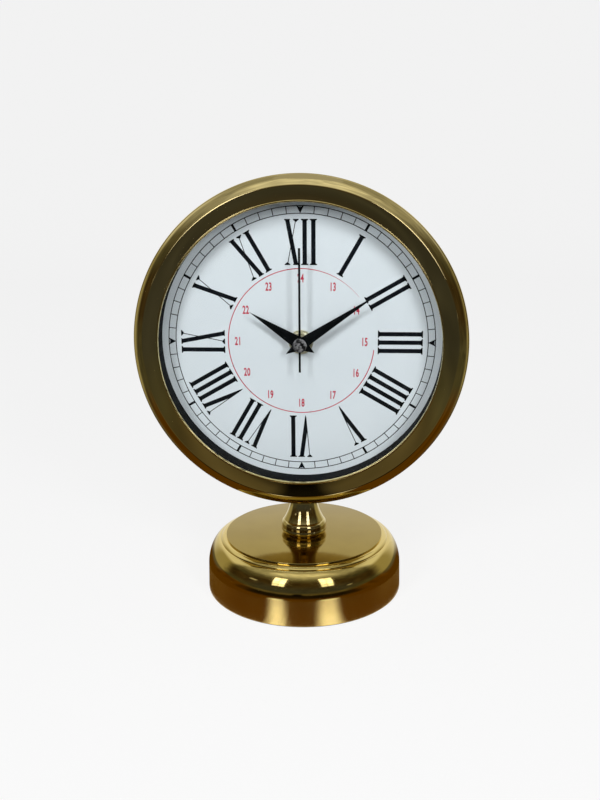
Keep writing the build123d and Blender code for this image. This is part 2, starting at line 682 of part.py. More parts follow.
# Middle plate of the movement, on the housing's posts, with the pivot holes of the train
with BuildPart() as movement_bridge:
    with BuildSketch(face_plane(BRIDGE_BACK_Y)):
        with Locations((0, BRIDGE_MID_Z)):
            Rectangle(BRIDGE_W, BRIDGE_H)
        with Locations((0, 0), THIRD_POINT, INTERMEDIATE_POINT, ROTOR_POINT):
            Circle(ARBOR_R + RUN_GAP, mode=Mode.SUBTRACT)
        with Locations(MINUTE_POINT):
            Circle(MINUTE_ARBOR_R + RUN_GAP, mode=Mode.SUBTRACT)
    extrude(amount=BRIDGE_T)
movement_bridge.part.label = "movement_bridge"
export_step(movement_bridge.part, "parts/movement_bridge.step")

with BuildPart() as threaded_bush:
    with BuildSketch(face_plane(MOVE_INSIDE_Y)):
        Circle(BUSH_R)
        Circle(HOUR_PIPE_R + RUN_GAP, mode=Mode.SUBTRACT)
    extrude(amount=MOVE_INSIDE_Y - BUSH_TIP_Y)
threaded_bush.part.label = "threaded_bush"
export_step(threaded_bush.part, "parts/threaded_bush.step")

with BuildPart() as rubber_washer:
    with BuildSketch(face_plane(MOVE_Y)):
        Circle(RUBBER_R)
        Circle(BUSH_R + BUSH_GAP, mode=Mode.SUBTRACT)
    extrude(amount=RUBBER_T)
rubber_washer.part.label = "rubber_washer"
export_step(rubber_washer.part, "parts/rubber_washer.step")

with BuildPart() as stem_washer:
    with BuildSketch(face_plane(DIAL_Y)):
        Circle(STEM_WASHER_R)
        Circle(BUSH_R + BUSH_GAP, mode=Mode.SUBTRACT)
    extrude(amount=STEM_WASHER_T)
stem_washer.part.label = "stem_washer"
export_step(stem_washer.part, "parts/stem_washer.step")

with BuildPart() as stem_nut:
    with BuildSketch(face_plane(STEM_WASHER_Y)):
        RegularPolygon(STEM_NUT_FLATS / 2, 6, major_radius=False)
        Circle(BUSH_R + THREAD_GAP, mode=Mode.SUBTRACT)
    extrude(amount=STEM_NUT_T)
stem_nut.part.label = "stem_nut"
export_step(stem_nut.part, "parts/stem_nut.step")

# Cell and its contacts, in the bay that opens to the back
CELL_END = Plane(origin=(CELL_TIP_X, CELL_Y, HEAD_Z + BAY_MID_Z), x_dir=(0, 1, 0), z_dir=(-1, 0, 0))

with BuildPart() as battery_cell:
    with BuildSketch(CELL_END):
        Circle(CELL_NUB_R)
    extrude(amount=CELL_NUB_T)
    with BuildSketch(CELL_END.offset(CELL_NUB_T)):
        Circle(CELL_R)
    extrude(amount=CELL_LENGTH - CELL_NUB_T)
    fillet(battery_cell.edges().filter_by(GeomType.CIRCLE).sort_by(Axis.X)[0], radius=CELL_EDGE)
battery_cell.part.label = "battery_cell"
export_step(battery_cell.part, "parts/battery_cell.step")

with BuildPart() as contact_positive:
    with BuildSketch(face_plane(CELL_Y + CONTACT_W / 2, (MOVE_IN - CONTACT_T / 2, BAY_MID_Z))):
        Rectangle(CONTACT_T, CONTACT_H)
    extrude(amount=CONTACT_W)
contact_positive.part.label = "contact_positive"
export_step(contact_positive.part, "parts/contact_positive.step")

# Folded leaf that presses on the cell's flat end
with BuildPart() as contact_negative:
    with BuildSketch(face_plane(CELL_Y + CONTACT_W / 2, (-MOVE_IN, BAY_MID_Z))):
        with BuildLine():
            Polyline(
                (0, -CONTACT_H / 2),
                (CONTACT_T, -CONTACT_H / 2),
                (CONTACT_T, CONTACT_H / 2 - CONTACT_LEAF),
                (CONTACT_LEAF, 0),
                (CONTACT_LEAF + CONTACT_T, 0),
                (2 * CONTACT_T, CONTACT_H / 2),
                (0, CONTACT_H / 2),
                close=True,
            )
        make_face()
    extrude(amount=CONTACT_W)
contact_negative.part.label = "contact_negative"
export_step(contact_negative.part, "parts/contact_negative.step")

# Stepping motor and circuit

with BuildPart() as stator:
    with BuildSketch(face_plane(CORE_Y)):
        with Locations((ROTOR_POINT[0], STATOR_LOW_Z + STATOR_BAR_H / 2)):
            Rectangle(STATOR_W, STATOR_BAR_H)
        for side in (-1, 1):
            leg_x = ROTOR_POINT[0] + side * (STATOR_W - STATOR_LEG_W) / 2
            with Locations((leg_x, (STATOR_LOW_Z + COIL_Z + CORE_H / 2) / 2)):
                Rectangle(STATOR_LEG_W, COIL_Z + CORE_H / 2 - STATOR_LOW_Z)
        with Locations(ROTOR_POINT):
            Circle(ROTOR_MAGNET_R + ROTOR_GAP, mode=Mode.SUBTRACT)
    extrude(amount=STATOR_T)
stator.part.label = "stator"
export_step(stator.part, "parts/stator.step")

with BuildPart() as coil_core:
    with BuildSketch(face_plane(CORE_Y + CORE_T, (ROTOR_POINT[0], COIL_Z))):
        Rectangle(STATOR_W, CORE_H)
    extrude(amount=CORE_T)
coil_core.part.label = "coil_core"
export_step(coil_core.part, "parts/coil_core.step")

COIL_END = Plane(
    origin=(ROTOR_POINT[0] - COIL_LENGTH / 2, CORE_Y + CORE_T / 2, HEAD_Z + COIL_Z),
    x_dir=(0, 1, 0),
    z_dir=(1, 0, 0),
)

with BuildPart() as coil:
    with BuildSketch(COIL_END):
        Circle(COIL_R)
        Rectangle(CORE_T + PRESS_GAP, CORE_H + PRESS_GAP, mode=Mode.SUBTRACT)
    extrude(amount=COIL_LENGTH)
coil.part.label = "coil"
export_step(coil.part, "parts/coil.step")

with BuildPart() as circuit_board:
    with BuildSketch(face_plane(BOARD_Y + BOARD_T, (BOARD_X, BOARD_Z))):
        Rectangle(BOARD_W, BOARD_H)
    extrude(amount=BOARD_T)
circuit_board.part.label = "circuit_board"
export_step(circuit_board.part, "parts/circuit_board.step")

with BuildPart() as crystal_can:
    with BuildSketch(Plane.XY.offset(HEAD_Z + BOARD_Z)):
        with Locations((BOARD_X, BOARD_Y - CRYSTAL_R - PRESS_GAP)):
            Circle(CRYSTAL_R)
    extrude(amount=CRYSTAL_LENGTH)
crystal_can.part.label = "crystal_can"
export_step(crystal_can.part, "parts/crystal_can.step")

# Running train

with BuildPart() as rotor:
    with BuildSketch(face_plane(PIVOT_BACK_Y, ROTOR_POINT)):
        Circle(ARBOR_R)
    extrude(amount=PIVOT_BACK_Y - BRIDGE_Y)
    with BuildSketch(face_plane(ROTOR_MAGNET_Y + ROTOR_MAGNET_T, ROTOR_POINT)):
        Circle(ROTOR_MAGNET_R)
    extrude(amount=ROTOR_MAGNET_T)
    with BuildSketch(face_plane(INTERMEDIATE_WHEEL_Y + WHEEL_T + PINION_OVERHANG, ROTOR_POINT)):
        with BuildLine():
            Polyline(*tooth_points(ROTOR_TEETH, ROTOR_MODULE, PINION_FORM), close=True)
        make_face()
    extrude(amount=WHEEL_T + 2 * PINION_OVERHANG)
rotor.part.label = "rotor"
export_step(rotor.part, "parts/rotor.step")

with BuildPart() as intermediate_wheel:
    with BuildSketch(face_plane(PIVOT_BACK_Y, INTERMEDIATE_POINT)):
        Circle(ARBOR_R)
    extrude(amount=PIVOT_BACK_Y - BRIDGE_Y)
    intermediate_start = mesh_start(ROTOR_TEETH, INTERMEDIATE_TEETH, INTERMEDIATE_DIRECTION + BACKWARD)
    with BuildSketch(face_plane(INTERMEDIATE_WHEEL_Y + WHEEL_T, INTERMEDIATE_POINT)):
        with BuildLine():
            Polyline(
                *tooth_points(INTERMEDIATE_TEETH, ROTOR_MODULE, WHEEL_FORM, intermediate_start),
                close=True,
            )
        make_face()
    extrude(amount=WHEEL_T)
    with BuildSketch(face_plane(INTERMEDIATE_WHEEL_Y, INTERMEDIATE_POINT)):
        with BuildLine():
            Polyline(*tooth_points(INTERMEDIATE_PINION, SECOND_MODULE, PINION_FORM), close=True)
        make_face()
    extrude(amount=INTERMEDIATE_WHEEL_Y - SECOND_WHEEL_Y + PINION_OVERHANG)
intermediate_wheel.part.label = "intermediate_wheel"
export_step(intermediate_wheel.part, "parts/intermediate_wheel.step")

with BuildPart() as second_wheel:
    with BuildSketch(face_plane(PIVOT_BACK_Y)):
        Circle(ARBOR_R)
    extrude(amount=PIVOT_BACK_Y - (HUB_FRONT_Y + HUB_T / 2))
    second_start = mesh_start(INTERMEDIATE_PINION, SECOND_TEETH, INTERMEDIATE_DIRECTION + BACKWARD)
    with BuildSketch(face_plane(SECOND_WHEEL_Y + WHEEL_T)):
        with BuildLine():
            Polyline(*tooth_points(SECOND_TEETH, SECOND_MODULE, WHEEL_FORM, second_start), close=True)
        make_face()
    extrude(amount=WHEEL_T)
    with BuildSketch(face_plane(THIRD_WHEEL_Y + WHEEL_T + PINION_OVERHANG)):
        with BuildLine():
            Polyline(*tooth_points(SECOND_PINION, THIRD_MODULE, PINION_FORM), close=True)
        make_face()
    extrude(amount=WHEEL_T + 2 * PINION_OVERHANG)
second_wheel.part.label = "second_wheel"
export_step(second_wheel.part, "parts/second_wheel.step")

with BuildPart() as third_wheel:
    with BuildSketch(face_plane(BRIDGE_BACK_Y, THIRD_POINT)):
        Circle(ARBOR_R)
    extrude(amount=BRIDGE_BACK_Y - MOVE_INSIDE_Y + PIVOT_DEPTH)
    third_start = mesh_start(SECOND_PINION, THIRD_TEETH, THIRD_DIRECTION)
    with BuildSketch(face_plane(THIRD_WHEEL_Y + WHEEL_T, THIRD_POINT)):
        with BuildLine():
            Polyline(*tooth_points(THIRD_TEETH, THIRD_MODULE, WHEEL_FORM, third_start), close=True)
        make_face()
    extrude(amount=WHEEL_T)
    with BuildSketch(face_plane(THIRD_WHEEL_Y, THIRD_POINT)):
        with BuildLine():
            Polyline(*tooth_points(THIRD_PINION, CENTRE_MODULE, PINION_FORM), close=True)
        make_face()
    extrude(amount=THIRD_WHEEL_Y - CENTRE_WHEEL_Y + PINION_OVERHANG)
third_wheel.part.label = "third_wheel"
export_step(third_wheel.part, "parts/third_wheel.step")

# Centre wheel: it turns the minute hand through a friction seat on the cannon tube
with BuildPart() as centre_wheel:
    centre_start = mesh_start(THIRD_PINION, CENTRE_TEETH, THIRD_DIRECTION + BACKWARD)
    with BuildSketch(face_plane(CENTRE_WHEEL_Y + WHEEL_T)):
        with BuildLine():
            Polyline(*tooth_points(CENTRE_TEETH, CENTRE_MODULE, WHEEL_FORM, centre_start), close=True)
        make_face()
        Circle(CANNON_R + RUN_GAP, mode=Mode.SUBTRACT)
    extrude(amount=WHEEL_T)
centre_wheel.part.label = "centre_wheel"
export_step(centre_wheel.part, "parts/centre_wheel.step")

# Motion work and hands

with BuildPart() as cannon_pinion:
    with BuildSketch(face_plane(CENTRE_WHEEL_Y + WHEEL_T + LAYER_GAP)):
        Circle(CANNON_R)
        Circle(ARBOR_R + RUN_GAP, mode=Mode.SUBTRACT)
    extrude(amount=CENTRE_WHEEL_Y + WHEEL_T + LAYER_GAP - (MINUTE_HAND_BACK_Y - HAND_T))
    with BuildSketch(face_plane(MINUTE_WHEEL_Y + WHEEL_T + PINION_OVERHANG)):
        with BuildLine():
            Polyline(*tooth_points(CANNON_TEETH, MOTION_MODULE, PINION_FORM), close=True)
        make_face()
        Circle(CANNON_R, mode=Mode.SUBTRACT)
    extrude(amount=WHEEL_T + 2 * PINION_OVERHANG)
cannon_pinion.part.label = "cannon_pinion"
export_step(cannon_pinion.part, "parts/cannon_pinion.step")

with BuildPart() as minute_wheel:
    with BuildSketch(face_plane(MOVE_BACK_Y + 2 * LAYER_GAP + KNOB_T / 2, MINUTE_POINT)):
        Circle(MINUTE_ARBOR_R)
    extrude(amount=MOVE_BACK_Y + 2 * LAYER_GAP + KNOB_T / 2 - MOVE_INSIDE_Y + PIVOT_DEPTH)
    minute_start = mesh_start(CANNON_TEETH, MINUTE_TEETH, MINUTE_DIRECTION)
    with BuildSketch(face_plane(MINUTE_WHEEL_Y + WHEEL_T, MINUTE_POINT)):
        with BuildLine():
            Polyline(*tooth_points(MINUTE_TEETH, MOTION_MODULE, WHEEL_FORM, minute_start), close=True)
        make_face()
    extrude(amount=WHEEL_T)
    with BuildSketch(face_plane(MINUTE_WHEEL_Y, MINUTE_POINT)):
        with BuildLine():
            Polyline(*tooth_points(MINUTE_PINION, HOUR_MODULE, PINION_FORM), close=True)
        make_face()
    extrude(amount=MINUTE_WHEEL_Y - HOUR_WHEEL_Y + PINION_OVERHANG)
minute_wheel.part.label = "minute_wheel"
export_step(minute_wheel.part, "parts/minute_wheel.step")

with BuildPart() as hour_wheel:
    with BuildSketch(face_plane(HOUR_WHEEL_Y + WHEEL_T)):
        Circle(HOUR_PIPE_R)
        Circle(CANNON_R + RUN_GAP, mode=Mode.SUBTRACT)
    extrude(amount=HOUR_WHEEL_Y + WHEEL_T - (HOUR_HAND_BACK_Y - HAND_T))
    hour_start = mesh_start(MINUTE_PINION, HOUR_TEETH, MINUTE_DIRECTION + BACKWARD)
    with BuildSketch(face_plane(HOUR_WHEEL_Y + WHEEL_T)):
        with BuildLine():
            Polyline(*tooth_points(HOUR_TEETH, HOUR_MODULE, WHEEL_FORM, hour_start), close=True)
        make_face()
        Circle(CANNON_R + RUN_GAP, mode=Mode.SUBTRACT)
    extrude(amount=WHEEL_T)
hour_wheel.part.label = "hour_wheel"
export_step(hour_wheel.part, "parts/hour_wheel.step")

# Fluted knob on the minute wheel's arbor, for setting the hands from behind
with BuildPart() as setting_knob:
    with BuildSketch(face_plane(MOVE_BACK_Y + 2 * LAYER_GAP + KNOB_T, MINUTE_POINT)):
        Circle(KNOB_R)
    extrude(amount=KNOB_T)
    chamfer(setting_knob.edges().filter_by(GeomType.CIRCLE), length=KNOB_EDGE)
    with BuildSketch(face_plane(MOVE_BACK_Y + 2 * LAYER_GAP + KNOB_T, MINUTE_POINT)):
        with PolarLocations(KNOB_R, KNOB_FLUTES):
            Circle(KNOB_FLUTE_R)
    extrude(amount=KNOB_T, mode=Mode.SUBTRACT)
    with BuildSketch(face_plane(MOVE_BACK_Y + 2 * LAYER_GAP + KNOB_T / 2, MINUTE_POINT)):
        Circle(MINUTE_ARBOR_R + PRESS_GAP)
    extrude(amount=KNOB_T / 2, mode=Mode.SUBTRACT)
setting_knob.part.label = "setting_knob"
export_step(setting_knob.part, "parts/setting_knob.step")

with BuildPart() as hour_hand:
    with BuildSketch(face_plane(HOUR_HAND_BACK_Y, clockwise=HOUR_ANGLE)):
        with BuildLine():
            Polyline((0, HOUR_HAND), (HOUR_HALF_W, 0), (0, -HOUR_TAIL), (-HOUR_HALF_W, 0), close=True)
        make_face()
        Circle(HOUR_HALF_W)
        Circle(HOUR_PIPE_R + PRESS_GAP, mode=Mode.SUBTRACT)
    extrude(amount=HAND_T)
hour_hand.part.label = "hour_hand"
export_step(hour_hand.part, "parts/hour_hand.step")

with BuildPart() as minute_hand:
    with BuildSketch(face_plane(MINUTE_HAND_BACK_Y, clockwise=MINUTE_ANGLE)):
        with BuildLine():
            Polyline(
                (0, MINUTE_HAND),
                (MINUTE_HALF_W, 0),
                (0, -MINUTE_TAIL),
                (-MINUTE_HALF_W, 0),
                close=True,
            )
        make_face()
        Circle(MINUTE_HALF_W)
        Circle(CANNON_R + PRESS_GAP, mode=Mode.SUBTRACT)
    extrude(amount=HAND_T)
minute_hand.part.label = "minute_hand"
export_step(minute_hand.part, "parts/minute_hand.step")

with BuildPart() as second_hand:
    with BuildSketch(face_plane(HUB_BACK_Y)):
        Circle(HUB_R)
    extrude(amount=HUB_T)
    chamfer(second_hand.edges().filter_by(GeomType.CIRCLE).sort_by(Axis.Y)[0], length=HUB_EDGE)
    with BuildSketch(face_plane(HUB_BACK_Y, (0, (SECOND_HAND - SECOND_TAIL) / 2))):
        Rectangle(SECOND_W, SECOND_HAND + SECOND_TAIL)
    extrude(amount=HAND_T)
    with BuildSketch(face_plane(HUB_BACK_Y)):
        Circle(ARBOR_R + PRESS_GAP)
    extrude(amount=HUB_T / 2, mode=Mode.SUBTRACT)
second_hand.part.label = "second_hand"
export_step(second_hand.part, "parts/second_hand.step")
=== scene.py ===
import functools
import math

import bmesh
import bpy
from mathutils import Matrix, Vector, noise


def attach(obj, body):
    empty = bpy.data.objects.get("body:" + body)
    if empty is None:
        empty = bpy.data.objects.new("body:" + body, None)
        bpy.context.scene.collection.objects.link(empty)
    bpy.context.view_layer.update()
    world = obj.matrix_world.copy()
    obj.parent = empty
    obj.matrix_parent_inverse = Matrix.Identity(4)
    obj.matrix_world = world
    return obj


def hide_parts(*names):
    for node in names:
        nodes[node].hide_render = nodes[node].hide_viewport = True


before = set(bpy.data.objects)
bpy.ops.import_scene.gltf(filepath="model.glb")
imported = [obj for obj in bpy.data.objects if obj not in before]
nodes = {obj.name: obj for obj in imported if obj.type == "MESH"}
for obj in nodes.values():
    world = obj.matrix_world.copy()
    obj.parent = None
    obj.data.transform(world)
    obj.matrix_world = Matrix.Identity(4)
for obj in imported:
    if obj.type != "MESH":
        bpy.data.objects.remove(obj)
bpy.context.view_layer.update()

# Sizes in millimetres, as the part's source has them
MM = 0.001
HEAD_Z = 138.0
DRUM_R = 80.0
DIAL_Y = -13.5
STEM_WASHER_Y = -14.0
HOUR_HAND_Y = -18.7
MINUTE_HAND_Y = -20.9
HUB_Y = -22.45
HAND_T = 0.4
PRINT_T = 0.03
BASE_TOP_Z = 30.2
RING_STEPS = 288
SMALL_RING_STEPS = 96


# Shapes


def placed(name, data):
    """Object of that data, in the scene."""
    made = bpy.data.objects.new(name, data)
    bpy.context.scene.collection.objects.link(made)
    return made


def fitted(made, body, slot, *stands_for):
    """The object, riding on its body and standing for the named nodes."""
    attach(made, body)
    if stands_for:
        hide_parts(*stands_for)
    return made


def piece(name, body, slot, mesh, *stands_for):
    """Object of that mesh in the scene, fitted to the clock."""
    return fitted(placed(name, mesh), body, slot, *stands_for)


def smoothed(mesh, sharp):
    """The mesh, smooth but for edges sharper than the angle."""
    mesh.shade_smooth()
    mesh.set_sharp_from_angle(angle=math.radians(sharp))
    return mesh


def mesh_of(name, shape, finishes, sharp=30.0):
    """Mesh of a bmesh given in millimetres, smooth but for edges sharper than the angle."""
    bmesh.ops.remove_doubles(shape, verts=shape.verts, dist=1e-5)
    bmesh.ops.recalc_face_normals(shape, faces=shape.faces)
    bmesh.ops.scale(shape, vec=(MM, MM, MM), verts=shape.verts)
    mesh = bpy.data.meshes.new(name)
    shape.to_mesh(mesh)
    shape.free()
    for finish in finishes:
        mesh.materials.append(finish)
    return smoothed(mesh, sharp)


def softened(outline, steps=5):
    """Closed outline whose corners that carry a third number, a radius, become small arcs."""
    points = []
    for k, corner in enumerate(outline):
        here = Vector(corner[:2])
        if len(corner) < 3:
            points.append(here)
            continue
        before = (Vector(outline[k - 1][:2]) - here).normalized()
        after = (Vector(outline[(k + 1) % len(outline)][:2]) - here).normalized()
        half = before.angle(after) / 2
        middle = here + (before + after).normalized() * (corner[2] / math.sin(half))
        start = here + before * (corner[2] / math.tan(half)) - middle
        end = here + after * (corner[2] / math.tan(half)) - middle
        turn = math.atan2(start.x * end.y - start.y * end.x, start.dot(end))
        for step in range(steps + 1):
            points.append(middle + Matrix.Rotation(turn * step / steps, 2) @ start)
    return points


def head_point(along, radius, turn):
    """Point of a ring about the head's axis."""
    return (radius * math.sin(turn), along, HEAD_Z + radius * math.cos(turn))


def stand_point(along, radius, turn):
    """Point of a ring about the stand's axis."""
    return (radius * math.cos(turn), radius * math.sin(turn), along)


def round_turns(steps):
    """Angles of so many equal steps all the way round."""
    return [2 * math.pi * k / steps for k in range(steps)]


def skinned(shape, rows, picks=None, closed=True, goes_round=True):
    """Faces between rows of points; a closed row ends where it starts, the last row may meet the first."""
    count = len(rows[0])
    for here, ahead in zip(rows, rows[1:] + rows[:1] if goes_round else rows[1:]):
        for i in range(count if closed else count - 1):
            j = (i + 1) % count
            face = shape.faces.new((here[i], here[j], ahead[j], ahead[i]))
            if picks:
                face.material_index = picks[i]


def turned(name, outline, place, finishes, pick=None, sharp=30.0, steps=RING_STEPS):
    """Ring turned on a lathe from a closed outline of (along, radius) points."""
    shape = bmesh.new()
    rows = [[shape.verts.new(place(p[0], p[1], turn)) for p in outline] for turn in round_turns(steps)]
    pairs = zip(outline, outline[1:] + outline[:1])
    picks = [pick((a[0] + b[0]) / 2, (a[1] + b[1]) / 2) for a, b in pairs] if pick else None
    skinned(shape, rows, picks)
    return mesh_of(name, shape, finishes, sharp)


def turned_piece(name, slot, outline, place, finishes, stands_for, **cut):
    """Turned ring on the case that stands for a node."""
    return piece(name, "case", slot, turned(name, outline, place, finishes, **cut), stands_for)


def arc(middle, radius, start, end, steps):
    """Points of a circular or elliptical arc, angles in degrees."""
    across, up = radius if isinstance(radius, tuple) else (radius, radius)
    angles = [math.radians(start + (end - start) * k / steps) for k in range(steps + 1)]
    return [(middle[0] + across * math.cos(a), middle[1] + up * math.sin(a)) for a in angles]


def three_point_arc(a, b, c, steps):
    """Points of the circular arc from a through b to c."""
    ax, ay, bx, by, cx, cy = *a, *b, *c
    d = 2 * (ax * (by - cy) + bx * (cy - ay) + cx * (ay - by))
    ux = ((ax**2 + ay**2) * (by - cy) + (bx**2 + by**2) * (cy - ay) + (cx**2 + cy**2) * (ay - by)) / d
    uy = ((ax**2 + ay**2) * (cx - bx) + (bx**2 + by**2) * (ax - cx) + (cx**2 + cy**2) * (bx - ax)) / d
    radius = math.hypot(ax - ux, ay - uy)
    start, through, end = (math.degrees(math.atan2(p[1] - uy, p[0] - ux)) for p in (a, b, c))
    through = start + (through - start + 180) % 360 - 180
    end = through + (end - through + 180) % 360 - 180
    return arc((ux, uy), radius, start, end, steps)


def dial_point(across, up, y):
    """Point in front of the dial, from its centre."""
    return (across, y, HEAD_Z + up)


def plates(outlines, y, thickness):
    """Bmesh of flat plates cut to outlines seen from the front, their backs at depth y."""
    shape = bmesh.new()
    for outline in outlines:
        back = [shape.verts.new(dial_point(u, v, y)) for u, v in outline]
        front = [shape.verts.new(dial_point(u, v, y - thickness)) for u, v in outline]
        shape.faces.new(back)
        shape.faces.new(front)
        for k in range(len(outline)):
            j = (k + 1) % len(outline)
            shape.faces.new((back[k], back[j], front[j], front[k]))
    return shape


def clockwise(point, degrees):
    """Point of the dial turned clockwise about its centre."""
    turn = math.radians(degrees)
    u, v = point
    return (u * math.cos(turn) + v * math.sin(turn), v * math.cos(turn) - u * math.sin(turn))


def settled(made):
    """Replaces an object's mesh by what its modifiers make of it, and removes them."""
    bpy.context.view_layer.update()
    graph = bpy.context.evaluated_depsgraph_get()
    mesh = bpy.data.meshes.new_from_object(made.evaluated_get(graph))
    name = made.data.name
    made.modifiers.clear()
    made.data = mesh
    mesh.name = name
    return made


# Materials


def feed(tree, socket, value):
    """Links an output to a socket of the tree, or sets a plain value on it."""
    if isinstance(value, bpy.types.NodeSocket):
        tree.links.new(value, socket)
    else:
        socket.default_value = value


def tree_node(tree, kind, settings=None, **inputs):
    """Node of a tree; its inputs go by name, or by number as i0, i1, and so on."""
    made = tree.nodes.new(kind)
    for key, value in (settings or {}).items():
        setattr(made, key, value)
    for key, value in inputs.items():
        numbered = key[0] == "i" and key[1:].isdigit()
        feed(tree, made.inputs[int(key[1:]) if numbered else key.replace("_", " ")], value)
    return made


def tree_maths(tree, operation, first, second=0.0):
    """Output of a sum in a tree."""
    return tree_node(tree, "ShaderNodeMath", {"operation": operation}, i0=first, i1=second).outputs[0]


class Finish:
    """A material as it is put together: its shader, its nodes and where they read the piece."""

    def __init__(self, name, colour, metallic=0.0, roughness=0.5):
        self.material = bpy.data.materials.new(name)
        self.material.use_nodes = True
        self.tree = self.material.node_tree
        self.shader = self.tree.nodes["Principled BSDF"]
        self.shader.inputs["Base Color"].default_value = (*colour, 1)
        self.shader.inputs["Metallic"].default_value = metallic
        self.shader.inputs["Roughness"].default_value = roughness
        self.place = self.tree.nodes.new("ShaderNodeTexCoord").outputs["Object"]
        self.node = functools.partial(tree_node, self.tree)
        self.maths = functools.partial(tree_maths, self.tree)

    def noise(self, scale, detail=3.0, stretch=(1, 1, 1), rough=0.55):
        """Noise over the piece, its cells per metre, stretched along the axes."""
        mapped = self.node("ShaderNodeMapping", Vector=self.place, Scale=stretch)
        made = self.node(
            "ShaderNodeTexNoise", Vector=mapped.outputs[0], Scale=scale, Detail=detail, Roughness=rough
        )
        return made.outputs[0]

    def between(self, share, low, high, start=0.0, end=1.0):
        """Number from low to high as the share goes from start to end."""
        made = self.node("ShaderNodeMapRange", i0=share, i1=start, i2=end, i3=low, i4=high)
        return made.outputs[0]

    def blended(self, share, first, second):
        """Colour from first to second by the share."""
        first, second = ((*c, 1) if isinstance(c, tuple) else c for c in (first, second))
        return self.node("ShaderNodeMix", {"data_type": "RGBA"}, i0=share, i6=first, i7=second).outputs[2]

    def reach(self, axis, centre=(0.0, 0.0, 0.0)):
        """Distance from an axis, in metres: the radius that turned lines follow."""
        mask = tuple(0.0 if k == axis else 1.0 for k in range(3))
        vector = functools.partial(self.node, "ShaderNodeVectorMath")
        moved = vector({"operation": "SUBTRACT"}, i0=self.place, i1=centre).outputs[0]
        flat = vector({"operation": "MULTIPLY"}, i0=moved, i1=mask).outputs[0]
        return vector({"operation": "LENGTH"}, i0=flat).outputs["Value"]

    def put(self, **sockets):
        """Links outputs to the shader, or sets plain values on it."""
        for key, value in sockets.items():
            feed(self.tree, self.shader.inputs[key.replace("_", " ")], value)
        return self

    def toned(self, share, start, end, first, second):
        """Base colour from first to second as the share goes from start to end."""
        return self.put(Base_Color=self.blended(self.between(share, 0, 1, start, end), first, second))

    def glossed(self, share, smooth, rough, start=0.3, end=0.7):
        """Roughness from smooth to rough as the share goes from start to end."""
        return self.put(Roughness=self.between(share, smooth, rough, start, end))

    def bumped(self, height, distance, strength=1.0):
        """Relief of that depth in metres, in the shading alone."""
        made = self.node("ShaderNodeBump", Height=height, Distance=distance, Strength=strength)
        return self.put(Normal=made.outputs[0])


def polished_brass(name, bright, dull, smooth=0.035, worn=0.09):
    """Buffed and lacquered brass: cloudy tone, smears in the gloss and a trace of buffing marks."""
    made = Finish(name, bright, metallic=1.0)
    made.toned(made.noise(28.0, 4.0), 0.38, 0.72, bright, dull)
    made.glossed(made.noise(70.0, 5.0, (1, 1, 0.35)), smooth, worn, 0.3, 0.75)
    return made.bumped(made.noise(900.0, 2.0), 0.000006, 0.12).material


def turned_brass(name, bright, dull, axis, centre, smooth, worn, line, depth, streak=0.0):
    """Brass with the fine lines that a lathe tool and a satin brush leave round its axis."""
    made = Finish(name, bright, metallic=1.0)
    radius = made.reach(axis, centre)
    along = made.node("ShaderNodeSeparateXYZ", i0=made.place).outputs[axis]
    rings = made.node("ShaderNodeCombineXYZ", X=radius, Y=along, Z=0.0).outputs[0]
    lines = made.node("ShaderNodeTexNoise", Vector=rings, Scale=line, Detail=3.0).outputs[0]
    cloud = made.noise(35.0, 4.0)
    both = made.maths("ADD", made.maths("MULTIPLY", lines, 0.6), made.maths("MULTIPLY", cloud, 0.4))
    made.toned(cloud, 0.35, 0.7, bright, dull)
    made.glossed(both, smooth, worn, 0.35, 0.65)
    if streak:
        tangent = made.node("ShaderNodeTangent", {"direction_type": "RADIAL", "axis": "XYZ"[axis]})
        made.put(Anisotropic=streak, Anisotropic_Rotation=0.25, Tangent=tangent.outputs[0])
    return made.bumped(lines, depth, 0.5).material


def moulding(name, colour, roughness, grain=1400.0, depth=0.00002, gloss=0.5):
    """Moulded plastic with a fine spark-eroded grain and faint flow marks."""
    made = Finish(name, colour)
    pits = made.noise(grain, 2.0)
    paler = tuple(min(1.0, c * 1.35 + 0.004) for c in colour)
    made.toned(made.noise(60.0, 3.0), 0.4, 0.75, colour, paler)
    made.glossed(pits, roughness - 0.07, roughness + 0.1)
    made.put(Specular_IOR_Level=gloss)
    return made.bumped(pits, depth, 0.6).material


def plain_metal(name, colour, roughness, scratch=(1, 1, 1)):
    """Sheet or drawn metal with brushed streaks and a few dull patches."""
    made = Finish(name, colour, metallic=1.0)
    streaks = made.noise(600.0, 3.0, scratch)
    made.toned(made.noise(90.0, 3.0), 0.4, 0.75, colour, tuple(c * 0.78 for c in colour))
    made.glossed(streaks, roughness - 0.06, roughness + 0.12)
    return made.bumped(streaks, 0.00001, 0.4).material


def ink(name, colour, pale):
    """Screen-printed ink: slightly uneven in tone, a little glossier than the paper."""
    made = Finish(name, colour, roughness=0.5)
    made.toned(made.noise(2600.0, 2.0), 0.45, 0.8, colour, pale)
    return made.put(Specular_IOR_Level=0.1).material


def paper():
    """White coated dial paper: faint fibres, cool tone and hardly any gloss."""
    made = Finish("dial_paper", (0.72, 0.785, 0.825), roughness=0.55)
    fibre = made.noise(3200.0, 4.0)
    cloud = made.noise(45.0, 3.0)
    tint = made.blended(made.between(cloud, 0, 1, 0.35, 0.7), (0.725, 0.795, 0.838), (0.7, 0.77, 0.815))
    made.put(Base_Color=made.blended(made.between(fibre, 0, 0.25, 0.5, 0.8), tint, (0.64, 0.71, 0.755)))
    made.glossed(fibre, 0.48, 0.62)
    return made.bumped(fibre, 0.000006, 0.4).material


